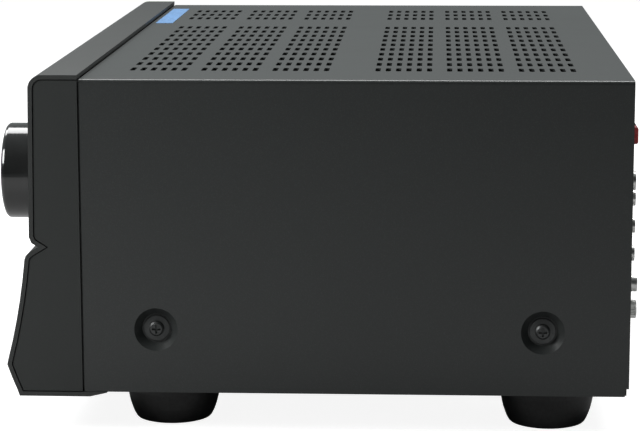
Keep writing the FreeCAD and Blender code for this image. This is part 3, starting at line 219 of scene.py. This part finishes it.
def taped_coil():
    paint = Paint("coil_tape", (0.62, 0.44, 0.10), 0.3, Coat_Weight=0.4, Coat_Roughness=0.1)
    paint.vary_colour(90, (0.50, 0.34, 0.07))
    paint.bands("Z", 130, 0.3, 0.0004)
    return paint.material


def laminations():
    paint = Paint("core_steel", (0.10, 0.095, 0.09), 0.45, Metallic=0.7)
    paint.vary_colour(120, (0.16, 0.13, 0.11))
    paint.bands("Y", 420, 0.5, 0.0003)
    return paint.material


def ribbon_wires():
    paint = Paint("ribbon_grey", (0.62, 0.62, 0.60), 0.45)
    paint.vary_colour(200, (0.55, 0.55, 0.53))
    paint.bands("X", 200, 0.6, 0.0004)
    return paint.material


def lit(name, colour, strength):
    """A lit phosphor or lamp, a little uneven."""
    paint = Paint(name, colour, 0.35, Emission_Strength=strength)
    paint.vary_colour(400, tuple(c * 0.8 for c in colour))
    paint.shader.inputs["Emission Color"].default_value = (*colour, 1)
    paint.grain(900, 0.05, 0.0001)
    return paint.material


def banded_resistor():
    paint = Paint("resistor_tan", (0.52, 0.38, 0.20), 0.35)
    paint.vary_colour(500, (0.30, 0.12, 0.05), start=0.55, end=0.6)
    paint.grain(800, 0.05, 0.0001)
    return paint.material


MATERIALS = {
    "cover_paint": lambda: powder_coat("cover_paint", (0.026, 0.0285, 0.0280), 0.30, (0.036, 0.039, 0.038)),
    "fascia_black": lambda: powder_coat("fascia_black", (0.027, 0.029, 0.028), 0.42, (0.036, 0.038, 0.037)),
    "cheek_black": lambda: powder_coat("cheek_black", (0.020, 0.0225, 0.0215), 0.42,
                                       (0.024, 0.0265, 0.0255)),
    "window_smoke": smoked_pane,
    "strip_blue": lambda: moulded("strip_blue", (0.11, 0.24, 0.46), 0.35, 600, 0.05),
    "zinc_steel": lambda: metal("zinc_steel", (0.50, 0.51, 0.52), 0.38, "X"),
    "panel_paint": lambda: powder_coat("panel_paint", (0.020, 0.021, 0.021), 0.42, (0.035, 0.036, 0.036)),
    "foot_black": lambda: moulded("foot_black", (0.010, 0.010, 0.010), 0.42, 700, 0.12),
    "pad_felt": lambda: moulded("pad_felt", (0.030, 0.030, 0.031), 0.9, 1600, 0.6),
    "screw_black": lambda: metal("screw_black", (0.11, 0.113, 0.113), 0.45, "X", 1200, 0.1),
    "screw_zinc": lambda: metal("screw_zinc", (0.62, 0.61, 0.57), 0.28, "Z", 1200, 0.1),
    "knob_black": lambda: polished("knob_black", (0.012, 0.0125, 0.0125), 0.14),
    "control_black": lambda: polished("control_black", (0.018, 0.018, 0.018), 0.24),
    "shaft_steel": lambda: metal("shaft_steel", (0.60, 0.60, 0.58), 0.25, "Y"),
    "part_zinc": lambda: metal("part_zinc", (0.52, 0.52, 0.50), 0.35, "Z"),
    "board_green": lambda: circuit_board("board_green", (0.012, 0.085, 0.035), (0.03, 0.15, 0.06)),
    "board_tan": lambda: circuit_board("board_tan", (0.30, 0.19, 0.07), (0.38, 0.25, 0.10)),
    "tube_glass": tube_glass,
    "jack_black": lambda: moulded("jack_black", (0.014, 0.014, 0.014), 0.35, 800, 0.08),
    "socket_nickel": lambda: metal("socket_nickel", (0.86, 0.86, 0.84), 0.34, "Y", 1500, 0.06, 0.92),
    "insert_white": lambda: moulded("insert_white", (0.70, 0.70, 0.67), 0.4),
    "lever_red": lambda: polished("lever_red", (0.50, 0.012, 0.016), 0.3),
    "lever_black": lambda: polished("lever_black", (0.015, 0.015, 0.015), 0.3),
    "cap_red": lambda: polished("cap_red", (0.42, 0.010, 0.012), 0.25),
    "cap_black": lambda: polished("cap_black", (0.014, 0.014, 0.014), 0.25),
    "brass_gold": lambda: metal("brass_gold", (0.80, 0.58, 0.22), 0.22, "Y", 1500, 0.06),
    "sink_aluminium": lambda: metal("sink_aluminium", (0.50, 0.50, 0.51), 0.4, "Z", 900, 0.2),
    "capacitor_sleeve": lambda: polished("capacitor_sleeve", (0.012, 0.014, 0.030), 0.3),
    "core_steel": laminations,
    "coil_tape": taped_coil,
    "ribbon_grey": ribbon_wires,
    "lead_black": lambda: moulded("lead_black", (0.016, 0.016, 0.016), 0.45, 1100, 0.2),
    "ic_black": lambda: moulded("ic_black", (0.015, 0.015, 0.016), 0.5, 1400, 0.25),
    "print_grey": lambda: moulded("print_grey", (0.42, 0.43, 0.42), 0.5, 1500, 0.05),
    "print_white": lambda: moulded("print_white", (0.72, 0.72, 0.70), 0.5, 1500, 0.05),
    "tube_lit": lambda: lit("tube_lit", (0.35, 0.95, 0.85), 1.6),
    "tube_amber": lambda: lit("tube_amber", (1.0, 0.45, 0.12), 1.1),
    "lamp_green": lambda: lit("lamp_green", (0.15, 0.85, 0.25), 0.7),
    "film_green": lambda: polished("film_green", (0.05, 0.22, 0.12), 0.3),
    "resistor_tan": banded_resistor,
    "wire_red": lambda: moulded("wire_red", (0.45, 0.015, 0.015), 0.4, 1200, 0.1),
    "wire_blue": lambda: moulded("wire_blue", (0.02, 0.07, 0.35), 0.4, 1200, 0.1),
    "wire_white": lambda: moulded("wire_white", (0.65, 0.65, 0.62), 0.4, 1200, 0.1),
}
made_materials = {}


def material(slot):
    """The material of a slot, made the first time it is asked for."""
    if slot not in made_materials:
        made_materials[slot] = MATERIALS[slot]()
    return made_materials[slot]


def dress_cad_nodes():
    """Give every CAD node the material of its slot, without touching its mesh."""
    for part in frame["record"]["subparts"]:
        piece = frame["nodes"][part["node"]]
        for holder in piece.material_slots:
            holder.link = "OBJECT"
            holder.material = material(part["material_slot"])


dress_cad_nodes()

# ---------------------------------------------------------------- added pieces

MM = 0.001  # the added pieces are drawn in millimetres
SMOOTH_UP_TO = math.radians(35)  # edges sharper than this stay crisp


class Shape:
    """A mesh built up from turned, bevelled and swept solids, all given in millimetres."""

    def __init__(self, name):
        self.name = name
        self.mesh = bmesh.new()

    def block(self, centre, sides, bevel=0.2, turn=0.0, axis="Y"):
        """A box with rounded edges, turned about one of its own axes."""
        made = bmesh.ops.create_cube(self.mesh, size=1.0)["verts"]
        for vert in made:
            vert.co = Vector(c * s for c, s in zip(vert.co, sides))
        edges = list({edge for vert in made for edge in vert.link_edges})
        grown = bmesh.ops.bevel(self.mesh, geom=edges, offset=bevel, segments=2, affect="EDGES")
        made = list({v for v in grown["verts"]} | {v for v in made if v.is_valid})
        spin = Matrix.Rotation(math.radians(turn), 4, axis)
        for vert in made:
            vert.co = spin @ vert.co + Vector(centre)
        return self

    def turned(self, profile, base, axis=Y, steps=32, ripple=0.0, waves=0):
        """Revolve (radius, height) pairs about an axis, with optional flutes round the rim."""
        side = Z.cross(axis).normalized() if abs(axis.z) < 0.9 else X.copy()
        other = axis.cross(side)
        widest = max(radius for radius, height in profile)
        rings = []
        for radius, height in profile:
            ring = []
            for i in range(steps):
                angle = 2 * math.pi * i / steps
                reach = radius
                if ripple and radius > 0.8 * widest:
                    reach = radius - ripple * (0.5 + 0.5 * math.cos(waves * angle))
                spoke = side * math.cos(angle) + other * math.sin(angle)
                ring.append(self.mesh.verts.new(Vector(base) + axis * height + spoke * reach))
            rings.append(ring)
        for low, high in zip(rings, rings[1:]):
            for i in range(steps):
                j = (i + 1) % steps
                self.mesh.faces.new((low[i], low[j], high[j], high[i]))
        if profile[0] != profile[-1]:
            self.mesh.faces.new(list(reversed(rings[0])))
            self.mesh.faces.new(rings[-1])
        return self

    def wire(self, points, radius, steps=10):
        """A round wire through the points, rounded where it bends."""
        path = [Vector(p) for p in points]
        for _ in range(2):
            finer = [path[0]]
            for a, b in zip(path, path[1:]):
                finer += [a.lerp(b, 0.25), a.lerp(b, 0.75)]
            path = finer + [path[-1]]
        rings = []
        for i, point in enumerate(path):
            along = (path[min(i + 1, len(path) - 1)] - path[max(i - 1, 0)]).normalized()
            side = along.orthogonal().normalized()
            if rings:
                side = (last_side - along * last_side.dot(along)).normalized()
            last_side = side
            other = along.cross(side)
            angles = [2 * math.pi * k / steps for k in range(steps)]
            spokes = [side * math.cos(a) + other * math.sin(a) for a in angles]
            rings.append([self.mesh.verts.new(point + spoke * radius) for spoke in spokes])
        for low, high in zip(rings, rings[1:]):
            for i in range(steps):
                j = (i + 1) % steps
                self.mesh.faces.new((low[i], low[j], high[j], high[i]))
        self.mesh.faces.new(list(reversed(rings[0])))
        self.mesh.faces.new(rings[-1])
        return self

    def place(self, slot, body="case"):
        """Write the mesh, give it its material and let it ride its body."""
        bmesh.ops.recalc_face_normals(self.mesh, faces=self.mesh.faces)
        for vert in self.mesh.verts:
            vert.co *= MM
        for face in self.mesh.faces:
            face.smooth = True
        data = bpy.data.meshes.new(self.name)
        self.mesh.to_mesh(data)
        self.mesh.free()
        data.set_sharp_from_angle(angle=SMOOTH_UP_TO)
        piece = bpy.data.objects.new(self.name, data)
        scene.collection.objects.link(piece)
        data.materials.append(material(slot))
        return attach(piece, body)


def surface_of(node):
    """A lookup into one CAD node's surface, along Y."""
    tree = BVHTree.FromObject(frame["nodes"][node], bpy.context.evaluated_depsgraph_get())

    def front_y(x, z):
        hit = tree.ray_cast(Vector((x * MM, -1, z * MM)), Y)[0]
        return hit.y / MM if hit else None

    return front_y


# --- front

KNOB_Z = 126.7
VOLUME_X, SELECTOR_X = 160.0, -160.0
VOLUME_FRONT, SELECTOR_FRONT, TONE_FRONT = -167.0, -162.0, -163.0  # the knobs' front faces, in Y
VOLUME_RIM, SELECTOR_RIM = 24.8, 17.0
TONE_X, TONE_Z = (-60.0, -22.0, 16.0), 66.0
KEY_X, KEY_PITCH, KEY_MARK_Z = -85, 50, 113.6
LAMP_X, LAMP_Z = -174.0, 158.0
PRINT = 0.12  # height of printed marks above the paint
FINE_EDGE = 0.05  # rounding of printed marks and lit bars


def dial_marks(name, x, z, radius, count, sweep, tall, wide):
    """Printed strokes in an arc round a knob, longer at the ends and in the middle."""
    face = surface_of("front_panel")
    shape = Shape(name)
    for i in range(count):
        angle = -sweep + 2 * sweep * i / (count - 1)
        spoke = math.radians(angle)
        long = tall * (1.5 if i in (0, count // 2, count - 1) else 1.0)
        middle = radius + long / 2
        at_x, at_z = x + middle * math.sin(spoke), z + middle * math.cos(spoke)
        at_y = face(at_x, at_z)
        if at_y is None:
            continue
        shape.block((at_x, at_y, at_z), (wide, 2 * PRINT, long), FINE_EDGE, angle, "Y")
    return shape.place("print_grey")


def front_marks():
    """Marks round the five knobs and a short line over each key."""
    dial_marks("volume_marks", VOLUME_X, KNOB_Z, 27.2, 21, 150, 1.6, 0.5)
    dial_marks("selector_marks", SELECTOR_X, KNOB_Z, 19.2, 12, 165, 1.4, 0.5)
    for i, x in enumerate(TONE_X):
        dial_marks(f"tone_marks_{i + 1}", x, TONE_Z, 9.0, 11, 150, 1.2, 0.35)
    face = surface_of("front_panel")
    lines = Shape("key_marks")
    for i in range(4):
        x = KEY_X + KEY_PITCH * i
        lines.block((x, face(x, KEY_MARK_Z), KEY_MARK_Z), (9, 2 * PRINT, 0.5), FINE_EDGE)
    lines.place("print_grey")


def power_lamp():
    """A small round indicator beside the power button, in a thin bright ring."""
    y = surface_of("front_panel")(LAMP_X, LAMP_Z)
    dome = [(1.55, 0), (1.55, 0.5), (1.35, 0.85), (0.9, 1.1), (0.4, 1.22), (0.02, 1.25)]
    Shape("power_lamp").turned(dome, (LAMP_X, y + 0.2, LAMP_Z), -Y, 24).place("lamp_green")
    ring = [(1.65, 0), (2.4, 0), (2.4, 0.25), (2.2, 0.45), (1.85, 0.45), (1.65, 0.25), (1.65, 0)]
    Shape("power_lamp_ring").turned(ring, (LAMP_X, y + 0.1, LAMP_Z), -Y, 32).place("shaft_steel")


def pointer_inlays():
    """A pale line set into each knob's groove."""
    for name, x, front, rim, body in (
            ("volume_pointer", VOLUME_X, VOLUME_FRONT, VOLUME_RIM, "volume"),
            ("selector_pointer", SELECTOR_X, SELECTOR_FRONT, SELECTOR_RIM, "selector")):
        centre = (x, front + 0.5, KNOB_Z + rim - 7)
        Shape(name).block(centre, (1.2, 0.4, 5.7), 0.08).place("print_white", body)
    for i, (x, body) in enumerate(zip(TONE_X, ("bass", "treble", "balance"))):
        centre = (x, TONE_FRONT + 0.4, TONE_Z + 4.25)
        Shape(f"tone_pointer_{i + 1}").block(centre, (0.8, 0.36, 4.2), 0.08).place("print_white", body)


SEGMENTS = {"1": "bc", "5": "acdfg", "6": "acdefg", "8": "abcdefg", "9": "abcdfg"}  # bars lit in each numeral
TUBE_FACE_Y = -141.1
LIT_THICK = 0.14


def seven_segment(shape, mark, x, y, z, tall):
    """One numeral of lit bars, its middle at x and z."""
    half, wide, bar = tall / 2, tall * 0.27, tall * 0.1
    bars = {"a": (0, half, 1), "d": (0, -half, 1), "g": (0, 0, 1),
            "b": (wide, half / 2, 0), "c": (wide, -half / 2, 0),
            "f": (-wide, half / 2, 0), "e": (-wide, -half / 2, 0)}
    for key in SEGMENTS[mark]:
        dx, dz, flat = bars[key]
        sides = (2 * wide - bar, LIT_THICK, bar) if flat else (bar, LIT_THICK, half - bar)
        shape.block((x + dx, y, z + dz), sides, FINE_EDGE)


def display_content():
    """Numerals, bars and small dots on the face of the display tube."""
    y = TUBE_FACE_Y
    numerals = Shape("display_numerals")
    for i, mark in enumerate("98"):
        seven_segment(numerals, mark, -16 + 11 * i, y, 146, 13)
    numerals.block((1.5, y, 139.9), (1.5, LIT_THICK, 1.5), FINE_EDGE)
    seven_segment(numerals, "5", 9, y, 146, 13)
    for i, mark in enumerate("16"):
        seven_segment(numerals, mark, 36 + 8 * i, y, 148, 8)
    numerals.place("tube_lit")
    bars = Shape("display_bars")
    for i in range(26):
        bars.block((-66 + 4.6 * i, y, 132.5), (3.4, LIT_THICK, 1.6 + 0.09 * i), FINE_EDGE)
    for i in range(5):
        bars.block((-66 + 7 * i, y, 156.5), (4.6, LIT_THICK, 1.4), FINE_EDGE)
    ring = [(1.0, 0), (1.5, 0), (1.5, LIT_THICK), (1.0, LIT_THICK), (1.0, 0)]
    for i in range(3):
        bars.turned(ring, (-52 + 8 * i, y + 0.07, 146), -Y, 24)
    bars.place("tube_amber")
    grid = Shape("display_grid")
    for i in range(29):
        grid.block((-77.5 + 4.82 * i, -141.03, 145), (0.18, 0.05, 31), 0.01)
    grid.place("shaft_steel")


# --- rear

PANEL_Y = 153.0
SINGLE_X, SINGLE_Z = 152, (112.6, 98.2, 83.4)  # the column of three phono sockets
PAIR_X, PAIR_PITCH = 60, 18  # the paired phono sockets, five across and then two
UPPER_Z, LOWER_Z = (112.0, 98.0), (72.0, 58.0)
SOCKET_SPOTS = [(SINGLE_X, z) for z in SINGLE_Z]
SOCKET_SPOTS += [(PAIR_X - PAIR_PITCH * i, z) for i in range(5) for z in UPPER_Z]
SOCKET_SPOTS += [(PAIR_X - PAIR_PITCH * i, z) for i in range(2) for z in LOWER_Z]
SOCKET_FACE_Y = 160.15
CAP_X, CAP_PITCH, CAP_Z = -72.0, 19, 62.0
CAP_Y, POST_END_Y = 156.6, 166.6
NUT_X, NUT_Y, NUT_Z = 173.0, 154.2, 58.0


def socket_rings():
    """Coloured faces inside the phono sockets: white above, red below and one black."""
    ring = [(1.9, 0), (3.45, 0), (3.45, 0.12), (3.2, 0.2), (2.1, 0.2), (1.9, 0.12), (1.9, 0)]
    for name, slot, kept in (
            ("socket_rings_white", "insert_white", (SINGLE_Z[0], UPPER_Z[0], LOWER_Z[0])),
            ("socket_rings_red", "cap_red", (SINGLE_Z[1], UPPER_Z[1], LOWER_Z[1])),
            ("socket_rings_black", "cap_black", (SINGLE_Z[2],))):
        shape = Shape(name)
        for x, z in SOCKET_SPOTS:
            if z in kept:
                shape.turned(ring, (x, SOCKET_FACE_Y, z), Y, 28)
        shape.place(slot)


def printed_frame(shape, low_x, high_x, low_z, high_z, line=0.45):
    """A thin outline printed on the rear panel."""
    y = PANEL_Y
    middle_x, middle_z = (low_x + high_x) / 2, (low_z + high_z) / 2
    for x in (low_x, high_x):
        shape.block((x, y, middle_z), (line, 2 * PRINT, high_z - low_z + line), FINE_EDGE)
    for z in (low_z, high_z):
        shape.block((middle_x, y, z), (high_x - low_x - line, 2 * PRINT, line), FINE_EDGE)


def rear_prints():
    """An outline round each group of sockets, the aerial clips and the speaker posts."""
    shape = Shape("rear_outlines")
    for count, low_z, high_z in ((5, 90.5, 119.5), (2, 50.5, 79.5)):
        for i in range(count):
            x = PAIR_X - PAIR_PITCH * i
            printed_frame(shape, x - 7.5, x + 7.5, low_z, high_z)
    printed_frame(shape, 144.0, 160.0, 76.0, 120.5)  # three single sockets
    printed_frame(shape, 133.5, 180.5, 131.5, 158.0)  # aerial clips
    printed_frame(shape, -145.5, -55.5, 43.5, 80.5)  # speaker posts
    shape.place("print_grey")


def fluted_caps():
    """Speaker caps with flutes round the rim, red and black in turn."""
    profile = [(3.05, 0), (5.8, 0), (6.6, 0.8), (6.6, 9.4),
               (6.3, 10.0), (5.7, 10.4), (3.05, 10.4), (3.05, 0)]
    for i in range(4):
        slot = "cap_red" if i % 2 == 0 else "cap_black"
        base = (CAP_X - CAP_PITCH * i, CAP_Y, CAP_Z)
        cap = Shape(f"fluted_cap_{i + 1}").turned(profile, base, Y, 144, 0.55, 18)
        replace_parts(cap.place(slot, f"cap_{i + 1}"), f"speaker_cap_{i + 1}")


def knurled_nut():
    """The ground terminal's thumb nut, with fine ridges and a narrower neck."""
    profile = [(2.05, 0), (3.4, 0), (3.4, 0.8), (4.4, 0.8), (4.8, 1.2),
               (4.8, 5.6), (4.4, 6.1), (2.05, 6.1), (2.05, 0)]
    nut = Shape("knurled_nut").turned(profile, (NUT_X, NUT_Y, NUT_Z), Y, 160, 0.3, 32)
    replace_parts(nut.place("socket_nickel", "thumb_nut"), "ground_nut")


def post_tips():
    """Bright collars round the banana holes at the ends of the speaker posts."""
    shape = Shape("post_collars")
    ring = [(2.05, 0), (2.9, 0), (2.9, 0.2), (2.6, 0.38), (2.05, 0.38), (2.05, 0)]
    for i in range(4):
        shape.turned(ring, (CAP_X - CAP_PITCH * i, POST_END_Y, CAP_Z), Y, 32)
    shape.place("brass_gold")


# --- inside, on the boards

BOARD_TOP = 31.6
CHIP_SPOTS = ((-40, -13), (16, -49), (72, -31), (128, -13))
SUPPLY_CAN_SPOTS = ((-185, 52), (-172, 52), (-105, 60), (-105, 72), (-144, 118))
FUSE_X, FUSE_Y, FUSE_Z = -190, 108, 36.0


def standing_can(shape, x, y, base, radius, tall):
    """A small capacitor can with a groove and a rolled top."""
    profile = [(radius * 0.96, 0), (radius, tall * 0.06), (radius, tall * 0.12),
               (radius * 0.93, tall * 0.17), (radius, tall * 0.22), (radius, tall * 0.95),
               (radius * 0.93, tall), (radius * 0.8, tall * 0.97)]
    shape.turned(profile, (x, y, base), Z, 20)


def lying_resistor(shape, x, y, base, turn):
    """A resistor body lying just above the board."""
    along = Vector((math.cos(turn), math.sin(turn), 0))
    start = Vector((x, y, base + 1.5)) - along * 3.2
    profile = [(0.75, 0), (1.15, 0.5), (1.15, 1.4), (0.95, 2.0),
               (0.95, 4.4), (1.15, 5.0), (1.15, 5.9), (0.75, 6.4)]
    shape.turned(profile, start, along, 12)


def board_parts():
    """Small components on the boards, laid out in rows with a fixed seed."""
    chance = random.Random(7)
    top = BOARD_TOP
    cans, films = Shape("board_cans"), Shape("board_films")
    bodies, chips = Shape("board_resistors"), Shape("board_chips")
    for x in range(-62, 150, 14):
        for y in (-58, -40, -22, -4):
            if (x, y) in ((-62, -58), (148, -58)):
                continue
            kind = chance.random()
            if kind < 0.4:
                standing_can(cans, x, y, top, chance.choice((2.5, 3.2, 4.0)), chance.uniform(7, 13))
            elif kind < 0.65:
                films.block((x, y, top + 3.2), (7.2, 2.8, 6.4), 0.5)
            for k in range(2):
                turn = math.pi / 2 * chance.randrange(2) * (k == 0)
                lying_resistor(bodies, x + 5.2, y + 4 * k - 2, top, turn)
    for x, y in CHIP_SPOTS:
        chips.block((x + 7, y, top + 2.0), (6.2, 9.0, 3.4), 0.3)
    for i, (x, y) in enumerate(SUPPLY_CAN_SPOTS):
        standing_can(cans, x, y, top, 3.6, 10 + i)
    for i in range(4):
        lying_resistor(bodies, -180 + 9 * i, 118, top, math.pi / 2)
    cans.place("capacitor_sleeve")
    films.place("film_green")
    bodies.place("resistor_tan")
    chips.place("ic_black")


def fuse_and_looms():
    """A fuse in its clips, and three wires from the transformer to the board."""
    barrel = [(2.4, 0), (2.6, 0.4), (2.6, 4.6), (2.45, 5), (2.45, 15), (2.6, 15.4), (2.6, 19.6), (2.4, 20)]
    Shape("mains_fuse").turned(barrel, (FUSE_X, FUSE_Y, FUSE_Z), X, 24).place("socket_nickel")
    clips = Shape("fuse_clips")
    for x in (FUSE_X + 2.5, FUSE_X + 17.5):
        for y in (FUSE_Y - 3.1, FUSE_Y + 3.1):
            clips.block((x, y, 34.4), (3.6, 0.6, 5.4), 0.1)
        clips.block((x, FUSE_Y, 32.0), (3.6, 6.6, 0.6), 0.1)
    clips.place("socket_nickel")
    for i, slot in enumerate(("wire_red", "wire_blue", "wire_white")):
        x = -128 + 4 * i
        path = [(x, 15.5, 44 + 2 * i), (x, 26, 49),
                (x + 2, 36, 44), (x + 2, 44, 36), (x + 2, 46, 31.8)]
        Shape(f"secondary_{slot[5:]}").wire(path, 0.9).place(slot)


front_marks()
power_lamp()
pointer_inlays()
display_content()
socket_rings()
rear_prints()
fluted_caps()
knurled_nut()
post_tips()
board_parts()
fuse_and_looms()

# ---------------------------------------------------------------- stage, light and camera

FLOOR_REACH = 12.0
FLOOR_GLOW = 0.90  # seen by the camera only, so that it whitens the backdrop and not the object
SKY_FRONT, SKY_REAR = 0.42, 0.12
SKY_BEHIND_CAMERA = 0.12
SKY_TINT = (0.93, 1.0, 1.0, 1)
CAMERA_PLACE = (1.3526, 0.0570, 0.3151)
CAMERA_TURN = (79.954, 0.127, 92.877)  # degrees
CAMERA_LENS = 130.8


def seen_directly(tree):
    """1 for what the camera sees straight on, 0 for what only lights or mirrors."""
    return tree.nodes.new("ShaderNodeLightPath").outputs["Is Camera Ray"]


def floor():
    """A plain pale floor that is not part of the object."""
    data = bpy.data.meshes.new("floor")
    reach = FLOOR_REACH
    corners = [(-reach, -reach, 0), (reach, -reach, 0), (reach, reach, 0), (-reach, reach, 0)]
    data.from_pydata(corners, [], [(0, 1, 2, 3)])
    slab = bpy.data.objects.new("floor", data)
    scene.collection.objects.link(slab)
    paint = Paint("floor_white", (0.46, 0.46, 0.46), 0.9, Emission_Color=(1, 1, 1, 1))
    paint.vary_colour(3, (0.44, 0.44, 0.44))
    glow = paint.node("ShaderNodeMath", operation="MULTIPLY")
    glow.inputs[1].default_value = FLOOR_GLOW
    paint.link(seen_directly(paint.tree), glow.inputs[0])
    paint.link(glow.outputs["Value"], paint.shader.inputs["Emission Strength"])
    data.materials.append(paint.material)


def soft_light(name, place, aim, width, height, power):
    """A rectangular lamp at one place, facing another."""
    lamp = bpy.data.lights.new(name, "AREA")
    lamp.shape = "RECTANGLE"
    lamp.size, lamp.size_y, lamp.energy = width, height, power
    holder = bpy.data.objects.new(name, lamp)
    scene.collection.objects.link(holder)
    holder.location = place
    holder.rotation_euler = (Vector(aim) - Vector(place)).to_track_quat("-Z", "Y").to_euler()


def sky_ramp(tree, value, start, end, low, high):
    """Turn a direction's part along one axis into a brightness."""
    ramp = tree.nodes.new("ShaderNodeMapRange")
    for socket, number in (("From Min", start), ("From Max", end), ("To Min", low), ("To Max", high)):
        ramp.inputs[socket].default_value = number
    tree.links.new(value, ramp.inputs["Value"])
    return ramp.outputs["Result"]


def studio():
    """A pale room that is brighter towards the front, with two soft lamps."""
    world = bpy.data.worlds.new("studio")
    scene.world = world
    world.use_nodes = True
    tree = world.node_tree
    back = tree.nodes["Background"]
    where = tree.nodes.new("ShaderNodeTexCoord")
    axes = tree.nodes.new("ShaderNodeSeparateXYZ")
    tree.links.new(where.outputs["Generated"], axes.inputs["Vector"])
    level = sky_ramp(tree, axes.outputs["Y"], -1.0, 1.0, SKY_FRONT, SKY_REAR)
    behind = sky_ramp(tree, axes.outputs["X"], -0.1, 0.75, 1.0, SKY_BEHIND_CAMERA)
    both = tree.nodes.new("ShaderNodeMath")
    both.operation = "MULTIPLY"
    tree.links.new(level, both.inputs[0])
    tree.links.new(behind, both.inputs[1])
    tint = tree.nodes.new("ShaderNodeMix")
    tint.data_type = "RGBA"
    tint.blend_type = "MULTIPLY"
    tint.inputs["Factor"].default_value = 1.0
    tint.inputs["B"].default_value = SKY_TINT
    tree.links.new(both.outputs["Value"], tint.inputs["A"])
    pick = tree.nodes.new("ShaderNodeMix")
    pick.data_type = "RGBA"
    pick.inputs["B"].default_value = (1, 1, 1, 1)
    tree.links.new(seen_directly(tree), pick.inputs["Factor"])
    tree.links.new(tint.outputs["Result"], pick.inputs["A"])
    tree.links.new(pick.outputs["Result"], back.inputs["Color"])
    soft_light("overhead", (-0.5, 0.0, 1.25), (0.0, 0, 0.1), 1.8, 0.55, 25)
    soft_light("front_side", (0.62, -0.75, 0.62), (0.2, -0.1, 0.13), 0.4, 0.4, 8)


def camera():
    data = bpy.data.cameras.new("camera")
    data.sensor_width = 36
    data.lens = CAMERA_LENS
    data.clip_end = 100
    holder = bpy.data.objects.new("camera", data)
    scene.collection.objects.link(holder)
    holder.location = CAMERA_PLACE
    holder.rotation_euler = [math.radians(angle) for angle in CAMERA_TURN]
    scene.camera = holder


floor()
studio()
camera()
